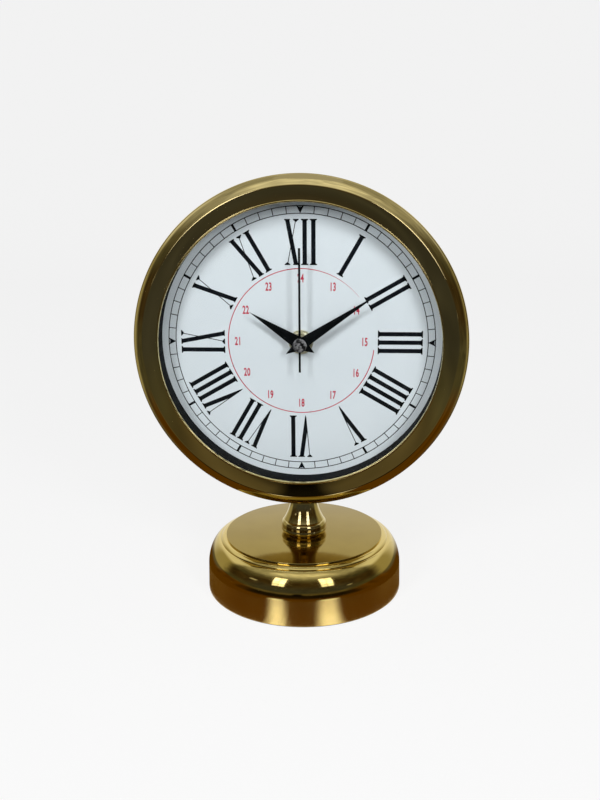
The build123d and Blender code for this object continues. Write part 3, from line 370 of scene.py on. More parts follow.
def lacquer(name, colour, roughness):
    """Sprayed lacquer on sheet metal, with a trace of orange peel."""
    made = Finish(name, colour, roughness=roughness)
    dust = made.noise(220.0, 4.0)
    made.toned(dust, 0.5, 0.85, colour, tuple(c * 1.6 + 0.0015 for c in colour))
    made.glossed(dust, roughness - 0.05, roughness + 0.12, 0.3, 0.75)
    made.put(Specular_IOR_Level=0.12)
    return made.bumped(made.noise(1500.0, 2.0), 0.00001, 0.35).material


def cap_metal():
    """Dark sprayed metal of the seconds cap, with lighter, rougher spots: painted highlights in its colour.
    """
    made = Finish("cap_metal", (0.09, 0.09, 0.095), metallic=0.75)
    highlight_spots = made.node("ShaderNodeTexNoise", Vector=made.place, Scale=620.0, Detail=4.0).outputs[0]
    # Painted highlights: the spots lighten the base colour.
    made.toned(highlight_spots, 0.44, 0.64, (0.01, 0.01, 0.012), (0.3, 0.3, 0.31))
    made.glossed(highlight_spots, 0.28, 0.55)
    return made.bumped(highlight_spots, 0.00003, 0.5).material


def pane():
    """Clear flat glass with the green of its thickness and a few dust marks."""
    made = Finish("pane_glass", (0.985, 0.995, 0.99), roughness=0.0)
    dust = made.noise(160.0, 4.0)
    made.put(Transmission_Weight=1.0, IOR=1.32, Roughness=made.between(dust, 0.0, 0.02, 0.62, 0.85))
    return made.material


def felt():
    """Black baize: matted fibres with a soft sheen."""
    made = Finish("felt_baize", (0.02, 0.021, 0.02), roughness=0.95)
    fibre = made.noise(1700.0, 5.0)
    tuft = made.noise(260.0, 3.0)
    both = made.maths("ADD", fibre, made.maths("MULTIPLY", tuft, 0.5))
    made.toned(both, 0.5, 1.0, (0.012, 0.013, 0.012), (0.05, 0.052, 0.05))
    made.put(Sheen_Weight=0.6, Sheen_Roughness=0.5)
    return made.bumped(both, 0.0002, 0.8).material


def jacket():
    """Plain printed shrink jacket of the cell, with its bare steel ends."""
    made = Finish("cell_jacket", (0.10, 0.16, 0.22), roughness=0.3)
    along = made.node("ShaderNodeSeparateXYZ", i0=made.place).outputs[0]
    tone = made.noise(120.0, 3.0)
    film = made.blended(made.between(tone, 0, 1, 0.4, 0.7), (0.09, 0.15, 0.2), (0.11, 0.18, 0.24))
    film = made.blended(made.maths("GREATER_THAN", along, 0.0155), film, (0.55, 0.57, 0.58))
    ends = made.maths("GREATER_THAN", along, 0.0243), made.maths("LESS_THAN", along, -0.0236)
    steel = made.maths("MAXIMUM", *ends)
    made.glossed(tone, 0.24, 0.36)
    made.put(Base_Color=made.blended(steel, film, (0.72, 0.72, 0.7)), Metallic=steel, Coat_Weight=0.2)
    return made.material


def board_resist():
    """Green resist over copper tracks."""
    made = Finish("board_resist", (0.02, 0.12, 0.05), roughness=0.4)
    cells = made.node("ShaderNodeTexBrick", Vector=made.place, Scale=260.0)
    track = made.between(cells.outputs["Fac"], 0, 1, 0.2, 0.8)
    made.put(Base_Color=made.blended(track, (0.015, 0.1, 0.04), (0.05, 0.2, 0.08)))
    return made.bumped(track, 0.00002, 0.5).material


def winding():
    """Enamelled copper wire, wound in close turns along the coil."""
    made = Finish("coil_wire", (0.62, 0.26, 0.1), metallic=1.0, roughness=0.35)
    waves = made.node("ShaderNodeTexWave", {"bands_direction": "X"}, Vector=made.place, Scale=1400.0)
    made.put(Base_Color=made.blended(waves.outputs["Fac"], (0.4, 0.15, 0.05), (0.72, 0.33, 0.13)))
    return made.bumped(waves.outputs["Fac"], 0.00008, 0.8).material


BRIGHT = (0.75, 0.61, 0.28)
DULL = (0.68, 0.54, 0.22)
SHOULDER_TONES = ((0.76, 0.59, 0.205), (0.7, 0.53, 0.165))
# The disc's brass is darkened to about half: painted shade that dims what its satin face reflects.
DIMMED_DISC_TONES = ((0.375, 0.268, 0.052), (0.335, 0.234, 0.043))
WALL_TONES = ((0.9, 0.66, 0.24), (0.82, 0.58, 0.19))
STEM_TONES = ((0.86, 0.84, 0.66), (0.8, 0.77, 0.58))
STAND_AXIS = (2, (0.0, 0.0, 0.0))
HEAD_AXIS = (1, (0.0, 0.0, HEAD_Z * MM))
bezel_brass = polished_brass("bezel_brass", BRIGHT, DULL)
neck_brass = polished_brass("neck_brass", BRIGHT, DULL, 0.04, 0.1)
shoulder_brass = polished_brass("shoulder_brass", *SHOULDER_TONES, 0.045, 0.1)
disc_brass = turned_brass("disc_brass", *DIMMED_DISC_TONES, *STAND_AXIS, 0.08, 0.14, 1800.0, 0.000006)
wall_brass = turned_brass("wall_brass", *WALL_TONES, *STAND_AXIS, 0.2, 0.27, 2600.0, 0.000006, 1.0)
drum_brass = turned_brass("drum_brass", BRIGHT, DULL, *HEAD_AXIS, 0.3, 0.42, 2200.0, 0.000008, 0.8)
cover_brass = turned_brass("cover_brass", BRIGHT, DULL, *HEAD_AXIS, 0.2, 0.34, 1500.0, 0.00002)
inner_brass = plain_metal("inner_brass", (0.42, 0.3, 0.12), 0.5)
screw_brass = polished_brass("screw_brass", BRIGHT, DULL, 0.14, 0.3)
stem_brass = polished_brass("stem_brass", *STEM_TONES, 0.24, 0.36)
spacer_black = moulding("spacer_black", (0.005, 0.006, 0.008), 0.62, gloss=0.02)
movement_black = moulding("movement_black", (0.032, 0.032, 0.034), 0.46, 1100.0, 0.00003)
knob_black = moulding("knob_black", (0.05, 0.05, 0.052), 0.4)
white_acetal = moulding("white_acetal", (0.76, 0.75, 0.7), 0.4)
rubber = moulding("rubber", (0.02, 0.02, 0.02), 0.75, 900.0)
hand_lacquer = lacquer("hand_lacquer", (0.0006, 0.0012, 0.002), 0.32)
black_ink = ink("black_ink", (0.001, 0.002, 0.004), (0.003, 0.005, 0.008))
red_ink = ink("red_ink", (0.5, 0.026, 0.06), (0.6, 0.09, 0.13))
zinc_steel = plain_metal("zinc_steel", (0.62, 0.62, 0.6), 0.32)
spring_steel = plain_metal("spring_steel", (0.74, 0.73, 0.7), 0.24, (0.2, 1, 1))
cast_iron = plain_metal("cast_iron", (0.12, 0.115, 0.11), 0.62)
aluminium = plain_metal("aluminium_sheet", (0.78, 0.78, 0.79), 0.36, (0.1, 1, 1))
magnet_grey = plain_metal("magnet_grey", (0.2, 0.2, 0.21), 0.45)
dial_paper = paper()
cap_grey = cap_metal()
pane_glass = pane()
felt_baize = felt()
cell_jacket = jacket()
board_green = board_resist()
coil_wire = winding()

NODE_FINISHES = (
    (cast_iron, ("base_weight",)),
    (zinc_steel, ("tie_rod", "tie_rod_washers", "tie_rod_nuts")),
    (pane_glass, ("glass",)),
    (dial_paper, ("dial_face",)),
    (aluminium, ("dial_plate",)),
    (movement_black, ("movement_housing", "movement_cover")),
    (stem_brass, ("threaded_bush",)),
    (rubber, ("rubber_washer",)),
    (cell_jacket, ("battery_cell",)),
    (spring_steel, ("contact_positive", "contact_negative", "crystal_can")),
    (magnet_grey, ("stator", "coil_core", "rotor")),
    (coil_wire, ("coil",)),
    (board_green, ("circuit_board",)),
    (white_acetal, ("movement_bridge", "intermediate_wheel", "second_wheel", "third_wheel")),
    (white_acetal, ("centre_wheel", "cannon_pinion", "minute_wheel", "hour_wheel")),
    (knob_black, ("setting_knob",)),
)
for finish, node_names in NODE_FINISHES:
    for node_name in node_names:
        node_mesh = nodes[node_name].data
        node_mesh.materials.clear()
        node_mesh.materials.append(finish)
nodes["glass"].visible_shadow = False
nodes["glass"].visible_diffuse = False


# Stand: its shoulder is a little rounder than the solid's, and its skirt hides the edge of the felt

STAND_BORE = 3.2
DISC_R, RING_Z = 42.3, 29.25
SHOULDER_R, SHOULDER_WIDE, SHOULDER_HIGH, SHOULDER_FULL = 45.2, 7.0, 13.4, 1.12
BASE_WALL_Z, BASE_WALL_R, BASE_WALL_IN = 14.4, 52.2, 50.5
SKIRT_Z, SKIRT_R, SKIRT_IN = 0.7, 52.5, 52.05
FELT_Z, FELT_R = 1.5, 51.9
INSIDE_R, INSIDE_REACH, CEILING_Z = 44.6, (5.9, 11.9), 26.3
# Where the finishes meet: the edges of both satin faces, and an ellipse in the middle of the shell
DISC_SATIN_Z, DISC_SATIN_R = 29.9, 42.2
WALL_SATIN_Z, WALL_SATIN_R = 14.3, 51.3
POLISH_Z, POLISH_R = 28.0, 42.0
MID_SHELL = (6.3, 12.5)
disc_corners = [(CEILING_Z, STAND_BORE), (BASE_TOP_Z, STAND_BORE), (BASE_TOP_Z, DISC_R, 0.22)]
base_outline = softened(disc_corners + [(RING_Z, DISC_R)])
base_outline += three_point_arc((RING_Z, 42.45), (28.96, 44.05), (28.2, 45.12), 8)
base_outline += [(28.05, SHOULDER_R), (27.8, SHOULDER_R)]
for step in range(41):
    round_off = math.radians(88 - 2.2 * step)
    rise = SHOULDER_HIGH * math.sin(round_off) ** SHOULDER_FULL
    bulge = SHOULDER_WIDE * math.cos(round_off) ** SHOULDER_FULL
    base_outline.append((BASE_WALL_Z + rise, SHOULDER_R + bulge))
base_skirt = [(BASE_WALL_Z, BASE_WALL_R), (14.04, 52.21), (SKIRT_Z, SKIRT_R, 0.2), (SKIRT_Z, SKIRT_IN)]
base_skirt += [(FELT_Z, SKIRT_IN), (FELT_Z, 50.9), (BASE_WALL_Z, BASE_WALL_IN)]
base_outline += softened(base_skirt)[1:]
base_outline += [(z, r) for r, z in arc((INSIDE_R, BASE_WALL_Z), INSIDE_REACH, 0, 90, 12)][1:]


def base_finish(z, radius):
    """Satin on the disc and the wall, polish between, plain inside."""
    if z > DISC_SATIN_Z and radius < DISC_SATIN_R:
        return 1
    if z < WALL_SATIN_Z and radius > WALL_SATIN_R:
        return 2
    across, up = (radius - INSIDE_R) / MID_SHELL[0], (z - BASE_WALL_Z) / MID_SHELL[1]
    outside = radius > POLISH_R and across**2 + up**2 > 1
    return 0 if outside or z > POLISH_Z else 3


base_finishes = [shoulder_brass, disc_brass, wall_brass, inner_brass]
turned_piece(
    "base_shell_turned",
    "base_brass",
    base_outline,
    stand_point,
    base_finishes,
    "base_shell",
    pick=base_finish,
    sharp=24.0,
)

felt_outline = softened([(0.0, 0.5), (FELT_Z, 0.5), (FELT_Z, FELT_R, 0.3), (0.0, FELT_R, 0.5)])
turned_piece("base_felt_pad", "felt", felt_outline, stand_point, [felt_baize], "base_felt")


BELL_Z = 38.1


def neck_radius(z):
    """Radius of the neck's bell, a smooth curve through its four turned diameters."""
    places = ((BELL_Z, 10.9), (42.2, 8.8), (49.7, 7.0), (67.6, 9.6))
    total = 0.0
    for k, (zk, rk) in enumerate(places):
        share = 1.0
        for j, (zj, _) in enumerate(places):
            if j != k:
                share *= (z - zj) / (zk - zj)
        total += rk * share
    return total


def neck_mesh():
    """Turned neck whose top follows the drum that it carries."""
    seat = DRUM_R + 0.02
    bead, crown = (32.8, 12.4), (37.5, 11.1)
    band_low, band_top, band_r = 33.8, 35.4, 12.1
    foot = three_point_arc((BASE_TOP_Z, 10.8), (31.5, 11.867), bead, 8)[:-1]
    foot += softened([(31.5, 11.9), (*bead, 0.9), (band_low, band_r, 0.3), (band_top, band_r)])[1:-1]
    foot += three_point_arc((band_top, band_r), (36.45, 11.85), crown, 8)
    foot += softened([crown, (37.8, 10.6, 0.08), (BELL_Z, 10.9)])[1:-1]
    bell_steps = 40
    shape = bmesh.new()
    rows = []
    for turn in round_turns(RING_STEPS):
        top = 58.0
        for _ in range(12):
            reach = neck_radius(top) * math.cos(turn)
            top = HEAD_Z - math.sqrt(seat**2 - reach**2)
        bore_top = HEAD_Z - math.sqrt(seat**2 - (STAND_BORE * math.cos(turn)) ** 2)
        column = [(BASE_TOP_Z, STAND_BORE)] + [tuple(p) for p in foot]
        for i in range(bell_steps + 1):
            z = BELL_Z + (top - BELL_Z) * i / bell_steps
            column.append((z, neck_radius(z)))
        column.append((bore_top, STAND_BORE))
        rows.append([shape.verts.new(stand_point(z, r, turn)) for z, r in column])
    skinned(shape, rows)
    return mesh_of("neck_turned", shape, [neck_brass], 28.0)


piece("neck_turned", "case", "neck_brass", neck_mesh(), "neck")


# Head case

BEZEL_BACK, BEZEL_BORE, BEZEL_R = -12.0, 80.1, 82.5
BAND_EDGE, RIDGE_OUT, RIDGE_IN = (-25.2, 81.95), (-28.6, 77.85), (-28.99, 76.75)
LIP_R, PANE_Y, PANE_R = 69.4, -27.4, 76.1
bezel_outline = softened([(BEZEL_BACK, BEZEL_BORE, 0.15), (BEZEL_BACK, 81.6, 0.3), (-24.0, BEZEL_R)])
bezel_outline += three_point_arc((-24.3, BEZEL_R), (-24.85, 82.32), BAND_EDGE, 8)
bezel_outline += three_point_arc(BAND_EDGE, (-27.2, 80.0), RIDGE_OUT, 14)[1:]
bezel_outline += three_point_arc(RIDGE_OUT, (-28.92, 77.3), RIDGE_IN, 10)[1:]
bezel_outline += [(-28.66, 70.55), (-28.68, 70.4)]
bezel_outline += arc((-28.55, 69.95), (0.42, 0.45), 110, 270, 12)
bezel_seat = [(-28.0, LIP_R), (PANE_Y, LIP_R, 0.2), (PANE_Y, PANE_R), (-22.4, PANE_R), (-19.1, BEZEL_BORE)]
bezel_outline += softened(bezel_seat)
turned_piece("bezel_turned", "bezel_brass", bezel_outline, head_point, [bezel_brass], "bezel", sharp=24.0)


DRUM_FRONT, DRUM_BACK, DRUM_IN, DRUM_SATIN_R = -19.0, 20.5, 78.8, 79.2
SEAT_FRONT, SEAT_BACK, SEAT_R = -12.0, -10.8, 70.0


def drum_finish(y, radius):
    """Satin outside, plain inside."""
    return 0 if radius > DRUM_SATIN_R else 1


drum_corners = [(DRUM_FRONT, DRUM_R, 0.2), (DRUM_BACK, DRUM_R, 0.25), (DRUM_BACK, DRUM_IN, 0.2)]
drum_corners += [(SEAT_BACK, DRUM_IN), (SEAT_BACK, SEAT_R, 0.2), (SEAT_FRONT, SEAT_R, 0.2)]
drum_corners += [(SEAT_FRONT, DRUM_IN), (DRUM_FRONT, DRUM_IN, 0.2)]
turned_piece(
    "case_drum_spun",
    "case_brass",
    softened(drum_corners),
    head_point,
    [drum_brass, inner_brass],
    "case_drum",
    pick=drum_finish,
)

COVER_BACK, COVER_IN, COVER_EDGE_R = 24.5, 23.3, 68.0
RIM_END, RIM_R, RIM_IN = 14.0, 78.7, 77.5
HOLE_R, HOLE_LIP_R, HOLE_LIP_Y = 36.0, 37.2, 21.5


def cover_finish(y, radius):
    """Satin on the round edge, the flat back and the rim of the opening, plain inside."""
    if radius >= COVER_EDGE_R + 0.5:
        return 0 if y > DRUM_BACK - 0.1 else 1
    rim_or_back = y > COVER_BACK - 0.5 or radius < HOLE_LIP_R - 0.2
    return 0 if y > HOLE_LIP_Y - 0.1 and rim_or_back else 1


cover_outline = [(COVER_BACK, COVER_EDGE_R)] + arc((4.5, COVER_EDGE_R), (20.0, 20.0), 0, 36.87, 20)[1:-1]
cover_rim = [(20.6, 79.9), (DRUM_BACK, DRUM_R), (DRUM_BACK, RIM_R), (RIM_END, RIM_R, 0.2)]
cover_outline += softened(cover_rim + [(RIM_END, RIM_IN, 0.2), (DRUM_BACK, RIM_IN)])
cover_outline += arc((5.784, COVER_EDGE_R), (17.516, 17.516), 32.85, 0, 14)[1:]
opening = [(COVER_IN, 50.0), (COVER_IN, HOLE_LIP_R, 0.4), (HOLE_LIP_Y, HOLE_LIP_R, 0.25)]
opening += [(HOLE_LIP_Y, HOLE_R, 0.25), (COVER_BACK, HOLE_R, 0.6), (COVER_BACK, 50.0)]
cover_outline += softened(opening)
turned_piece(
    "back_cover_spun",
    "case_brass",
    cover_outline,
    head_point,
    [cover_brass, inner_brass],
    "back_cover",
    pick=cover_finish,
)

SPACER_FRONT, FLANGE_BACK, FLANGE_R = -25.4, -23.9, 75.9
SPACER_IN, SPACER_R = 70.4, 72.0
spacer_corners = [(SPACER_FRONT, SPACER_IN, 0.2), (SPACER_FRONT, FLANGE_R, 0.2)]
spacer_corners += [(FLANGE_BACK, FLANGE_R, 0.2), (FLANGE_BACK, SPACER_R)]
spacer_corners += [(DIAL_Y, SPACER_R, 0.15), (DIAL_Y, SPACER_IN, 0.15)]
turned_piece(
    "spacer_ring_moulded",
    "black_plastic",
    softened(spacer_corners),
    head_point,
    [spacer_black],
    "spacer_ring",
)


# Printed dial

NUMERAL_LOW, NUMERAL_TOP = 38.4, 60.7
COLUMN = 4.25
THICK, THIN = 2.15, 0.38
SERIF_T, POINT = 0.42, 0.2
# Serifs of the letters' strokes: width, stroke and bracket
I_SERIF = (3.6, THICK, 0.5)
X_HEAVY_SERIF, X_LIGHT_SERIF = (3.0, THICK, 0.4), (2.8, THIN, 1.0)
V_HEAVY_SERIF, V_LIGHT_SERIF = (3.4, THICK, 0.4), (2.6, THIN, 1.0)
NUMERALS = ("I", "II", "III", "IIII", "V", "vI", "VII", "vIII", "IX", "X", "XI", "XII")
UPRIGHT = Matrix.Rotation(math.radians(90), 4, "X")


def serif(middle, end, inward, width, stem, bracket):
    """Outline of a serif: a thin foot at the end of a stroke, bracketed into it."""
    foot = SERIF_T * inward
    return [
        (middle - width / 2, end),
        (middle + width / 2, end),
        (middle + width / 2, end + foot),
        (middle + stem / 2, end + foot + bracket * inward),
        (middle - stem / 2, end + foot + bracket * inward),
        (middle - width / 2, end + foot),
    ]


def serifs(top, low, *sizes):
    """Outlines of the serifs at both ends of a stroke."""
    return [serif(top, NUMERAL_TOP, -1, *sizes), serif(low, NUMERAL_LOW, 1, *sizes)]


def stroke(top, low, width):
    """Outline of a straight stroke between the numeral's two lines."""
    half = width / 2
    ends = ((top, -1, NUMERAL_TOP), (top, 1, NUMERAL_TOP), (low, 1, NUMERAL_LOW), (low, -1, NUMERAL_LOW))
    return [(middle + side * half, up) for middle, side, up in ends]


def numeral_letter(letter, first):
    """Outlines of one letter whose first stroke stands in the column at first."""
    second, middle = first + COLUMN, first + COLUMN / 2
    if letter == "I":
        return [stroke(first, first, THICK)] + serifs(first, first, *I_SERIF)
    if letter == "X":
        bars = [stroke(first, second, THICK), stroke(second, first, THIN)]
        return bars + serifs(first, second, *X_HEAVY_SERIF) + serifs(second, first, *X_LIGHT_SERIF)
    heavy, light = (first, second) if letter == "V" else (second, first)
    side = math.copysign(1.0, light - heavy)
    lean = (light + side * THIN / 2 - (middle + side * POINT)) / (NUMERAL_TOP - NUMERAL_LOW)
    fall = (heavy - side * THICK / 2 - (middle - side * POINT)) / (NUMERAL_TOP - NUMERAL_LOW)
    join = NUMERAL_LOW + side * (THICK - 2 * POINT) / (lean - fall)
    leg = [
        (heavy - side * THICK / 2, NUMERAL_TOP),
        (heavy + side * THICK / 2, NUMERAL_TOP),
        (middle + side * POINT + lean * (join - NUMERAL_LOW), join),
        (middle + side * POINT, NUMERAL_LOW),
        (middle - side * POINT, NUMERAL_LOW),
    ]
    thin = [
        (light - THIN / 2, NUMERAL_TOP),
        (light + THIN / 2, NUMERAL_TOP),
        (middle + side * POINT + THIN / 2, NUMERAL_LOW + 1.0),
        (middle + side * POINT - THIN / 2, NUMERAL_LOW + 1.0),
    ]
    heavy_serif = serif(heavy, NUMERAL_TOP, -1, *V_HEAVY_SERIF)
    light_serif = serif(light, NUMERAL_TOP, -1, *V_LIGHT_SERIF)
    return [leg, thin, heavy_serif, light_serif]


def numeral_outlines():
    """Outlines of the twelve hour numerals, their feet towards the centre."""
    found = []
    for hour, letters in enumerate(NUMERALS, 1):
        widths = [1 if letter == "I" else 2 for letter in letters]
        column = -(sum(widths) - 1) * COLUMN / 2
        for letter, width in zip(letters, widths):
            for outline in numeral_letter(letter, column):
                found.append([clockwise(point, 30 * hour) for point in outline])
            column += width * COLUMN
    return found


def quarter_arrows():
    """Outlines of the notched arrowheads at the four quarters, pointing inwards."""
    head = [(0.0, 63.3), (2.05, 67.5), (0.0, 66.1), (-2.05, 67.5)]
    return [[clockwise(point, 90 * k) for point in head] for k in range(4)]


def ring_band(radius, wide, start, end, steps):
    """Outlines of a printed line along a circle, its width a function of the share along it."""
    found = []
    for k in range(steps):
        corners = []
        for share, side in ((k, 1), (k + 1, 1), (k + 1, -1), (k, -1)):
            half = wide(share / steps) / 2
            corners.append(clockwise((0, radius + side * half), start + (end - start) * share / steps))
        found.append(corners)
    return found


def printed(name, outlines, finish):
    """Black or red layer of print on the paper."""
    mesh = mesh_of(name, plates(outlines, DIAL_Y, PRINT_T), [finish], 20.0)
    return piece(name, "case", "dial_paper", mesh)


printed("hour_numerals", numeral_outlines(), black_ink)
printed("quarter_arrows", quarter_arrows(), black_ink)


RED_CIRCLE_R, RED_START, RED_END = 36.7, 96.0, 412.0
# The red line's width, how much narrower it gets, and the share of the arc after which it narrows
RED_LINE, RED_NARROWING, NARROWING_FROM = 0.44, 0.36, 0.84
RED_HOURS_R, RED_HOURS_SIZE, RED_HOURS_NARROW = 31.8, 5.7, 0.56


def wear(share):
    """Width of the red circle, which narrows over the last part of its arc."""
    narrowed_share = max(0.0, share - NARROWING_FROM) / (1 - NARROWING_FROM)
    return RED_LINE - RED_NARROWING * narrowed_share


printed("red_circle", ring_band(RED_CIRCLE_R, wear, RED_START, RED_END, 240), red_ink)


def red_numbers():
    """The upright hours thirteen to twenty-four on their circle, as one flat mesh."""
    shape = bmesh.new()
    for hour in range(13, 25):
        words = bpy.data.curves.new("hour", "FONT")
        words.body = str(hour)
        words.align_x, words.align_y = "CENTER", "CENTER"
        words.size = RED_HOURS_SIZE
        words.space_character = 1.06
        words.extrude = PRINT_T / 2
        words.offset = 0.15
        words.resolution_u = 3
        drawn = placed("hour", words)
        bpy.context.view_layer.update()
        graph = bpy.context.evaluated_depsgraph_get()
        flat = bpy.data.meshes.new_from_object(drawn.evaluated_get(graph))
        bpy.data.objects.remove(drawn)
        u, v = clockwise((0, RED_HOURS_R), 30 * (hour - 12))
        narrow = Matrix.Diagonal((RED_HOURS_NARROW, 1.0, 1.0, 1.0))
        flat.transform(Matrix.Translation(dial_point(u, v, DIAL_Y - PRINT_T / 2)) @ UPRIGHT @ narrow)
        shape.from_mesh(flat)
        bpy.data.meshes.remove(flat)
    mesh = mesh_of("red_hours", shape, [red_ink], 20.0)
    return piece("red_hours", "case", "dial_paper", mesh)


red_numbers()


# Repeated pieces, made by node trees


def node_group(name, sizes):
    """Geometry node tree with named inputs for its sizes."""
    tree = bpy.data.node_groups.new(name, "GeometryNodeTree")
    for label, kind, value in sizes:
        socket = tree.interface.new_socket(label, in_out="INPUT", socket_type=kind)
        if value is not None:
            socket.default_value = value
    tree.interface.new_socket("Geometry", in_out="OUTPUT", socket_type="NodeSocketGeometry")
    return tree


def grown(name, tree, values):
    """Mesh that a node tree makes with those values of its inputs, as an object at the origin."""
    made = placed(name, bpy.data.meshes.new(name))
    modifier = made.modifiers.new(name, "NODES")
    modifier.node_group = tree
    for item in tree.interface.items_tree:
        if item.item_type == "SOCKET" and item.in_out == "INPUT" and item.name in values:
            modifier[item.identifier] = values[item.name]
    return settled(made)


def ended(tree, geometry, finish):
    """The tree with its end: instances made real, then the finish."""
    real_mesh = tree_node(tree, "GeometryNodeRealizeInstances", Geometry=geometry)
    painted = tree_node(tree, "GeometryNodeSetMaterial", Geometry=real_mesh.outputs[0], Material=finish)
    tree_node(tree, "NodeGroupOutput", i0=painted.outputs[0])
    return tree


def minute_track_tree():
    """Minute track: sixty ticks, wider at each hour, between two circles."""
    real = "NodeSocketFloat"
    tree = node_group(
        "minute_track",
        [
            ("Ticks", "NodeSocketInt", 60),
            ("Outer Radius", real, 0.067),
            ("Inner Radius", real, 0.0634),
            ("Line", real, 0.00042),
            ("Hour Line", real, 0.0012),
            ("Height", real, 0.00003),
            ("Finish", "NodeSocketMaterial", None),
        ],
    )
    given = tree.nodes.new("NodeGroupInput").outputs
    node = functools.partial(tree_node, tree)
    maths = functools.partial(tree_maths, tree)
    middle = maths("MULTIPLY", maths("ADD", given["Outer Radius"], given["Inner Radius"]), 0.5)
    length = maths("SUBTRACT", given["Outer Radius"], given["Inner Radius"])
    circle = node("GeometryNodeMeshCircle", Vertices=given["Ticks"], Radius=middle)
    size = node("ShaderNodeCombineXYZ", X=length, Y=given["Line"], Z=given["Height"])
    tick = node("GeometryNodeMeshCube", Size=size.outputs[0])
    index = node("GeometryNodeInputIndex").outputs[0]
    turn = maths("MULTIPLY", index, maths("DIVIDE", 2 * math.pi, given["Ticks"]))
    spin = node("ShaderNodeCombineXYZ", Z=turn)
    hourly = maths("LESS_THAN", maths("MODULO", index, 5.0), 0.5)
    quarterly = maths("LESS_THAN", maths("MODULO", index, 15.0), 0.5)
    wider = maths("SUBTRACT", maths("DIVIDE", given["Hour Line"], given["Line"]), 1.0)
    swell = maths("ADD", 1.0, maths("MULTIPLY", maths("SUBTRACT", hourly, quarterly), wider))
    scale = node("ShaderNodeCombineXYZ", X=1.0, Y=swell, Z=1.0)
    ticks = node(
        "GeometryNodeInstanceOnPoints",
        Points=circle.outputs["Mesh"],
        Instance=tick.outputs["Mesh"],
        Rotation=spin.outputs[0],
        Scale=scale.outputs[0],
    )
    profile = node("GeometryNodeCurvePrimitiveQuadrilateral", Width=given["Line"], Height=given["Height"])
    joined = node("GeometryNodeJoinGeometry", i0=ticks.outputs[0])
    for edge in ("Outer Radius", "Inner Radius"):
        line = node("GeometryNodeCurvePrimitiveCircle", Resolution=240, Radius=given[edge]).outputs["Curve"]
        solid = node("GeometryNodeCurveToMesh", Curve=line, Profile_Curve=profile.outputs["Curve"])
        tree.links.new(solid.outputs[0], joined.inputs[0])
    return ended(tree, joined.outputs[0], given["Finish"])


track = grown("minute_track", minute_track_tree(), {"Finish": black_ink})
on_dial = Matrix.Translation(Vector(dial_point(0, 0, DIAL_Y - PRINT_T / 2)) * MM)
track.data.transform(on_dial @ UPRIGHT)
fitted(track, "case", "dial_paper")


# Hands


def kite_hand(length, tail, half, eye, angle, y):
    """Bmesh of a flat kite-shaped hand, round about its eye."""
    shape = bmesh.new()
    outline, hole = [], []
    steps = 144
    for turn in round_turns(steps):
        end = length if math.cos(turn) > 0 else tail
        kite = 1 / (abs(math.sin(turn)) / half + abs(math.cos(turn)) / end)
        outline.append(clockwise((0, max(kite, half)), math.degrees(turn) + angle))
        hole.append(clockwise((0, eye), math.degrees(turn) + angle))
    rows = []
    for depth in (y, y - HAND_T):
        rows.append([shape.verts.new(dial_point(u, v, depth)) for u, v in outline])
        rows.append([shape.verts.new(dial_point(u, v, depth)) for u, v in hole])
    for k in range(steps):
        j = (k + 1) % steps
        for first, second in ((0, 1), (1, 3), (3, 2), (2, 0)):
            shape.faces.new((rows[first][k], rows[first][j], rows[second][j], rows[second][k]))
    return shape


def rounded_edges(made, width, angle=35.0):
    """Rounds an object's sharp edges and keeps the result as its mesh."""
    bevel = made.modifiers.new("edges", "BEVEL")
    bevel.width = width * MM
    bevel.segments = 2
    bevel.limit_method = "ANGLE"
    bevel.angle_limit = math.radians(angle)
    smoothed(settled(made).data, angle)
    return made


# Each hand: length, tail, half its width, its eye, its angle and how far forward it stands
KITE_HANDS = (
    ("hour_hand", "hours", (29.8, 8.3, 3.4, 2.57, 302.2, HOUR_HAND_Y)),
    ("minute_hand", "minutes", (46.0, 8.4, 2.9, 1.67, 56.5, MINUTE_HAND_Y)),
)
for hand, body, sizes in KITE_HANDS:
    hand_mesh = mesh_of(hand + "_pressed", kite_hand(*sizes), [hand_lacquer])
    rounded_edges(piece(hand + "_pressed", body, "hand_black", hand_mesh, hand), 0.09)


def second_hand_mesh():
    """Straight seconds hand with its turned cap."""
    tip, tail, half = 47.5, 13.6, 0.525
    bar = plates([[(-half, -tail), (half, -tail), (half, tip), (-half, tip)]], HUB_Y, HAND_T)
    mesh = mesh_of("second_hand_pressed", bar, [hand_lacquer, cap_grey])
    cap_r, pin_r, pin_end = 3.45, 0.52, HUB_Y - 0.65
    crown = [(HUB_Y - 0.95, cap_r, 0.3), (HUB_Y - 1.25, 2.9, 0.4), (HUB_Y - 1.3, 0.0)]
    cap = softened([(HUB_Y, pin_r), (HUB_Y, cap_r, 0.1)] + crown)
    cap += [(pin_end, 0.0), (pin_end, pin_r)]
    turned_cap = turned("cap", cap, head_point, [cap_grey], steps=SMALL_RING_STEPS)
    shape = bmesh.new()
    shape.from_mesh(mesh)
    bars = len(shape.faces)
    shape.from_mesh(turned_cap)
    shape.faces.ensure_lookup_table()
    for face in shape.faces[bars:]:
        face.material_index = 1
    shape.to_mesh(mesh)
    shape.free()
    bpy.data.meshes.remove(turned_cap)
    return mesh


piece("second_hand_pressed", "seconds", "hand_black", second_hand_mesh(), "second_hand")


# Nut and washer of the movement's stem

WASHER_R, WASHER_BORE = 6.2, 4.15
washer_corners = [(DIAL_Y, WASHER_BORE, 0.08), (DIAL_Y, WASHER_R, 0.08)]
washer_corners += [(STEM_WASHER_Y, WASHER_R, 0.12), (STEM_WASHER_Y, WASHER_BORE, 0.1)]
turned_piece(
    "stem_washer_turned",
    "stem_brass",
    softened(washer_corners),
    head_point,
    [stem_brass],
    "stem_washer",
    steps=SMALL_RING_STEPS,
)


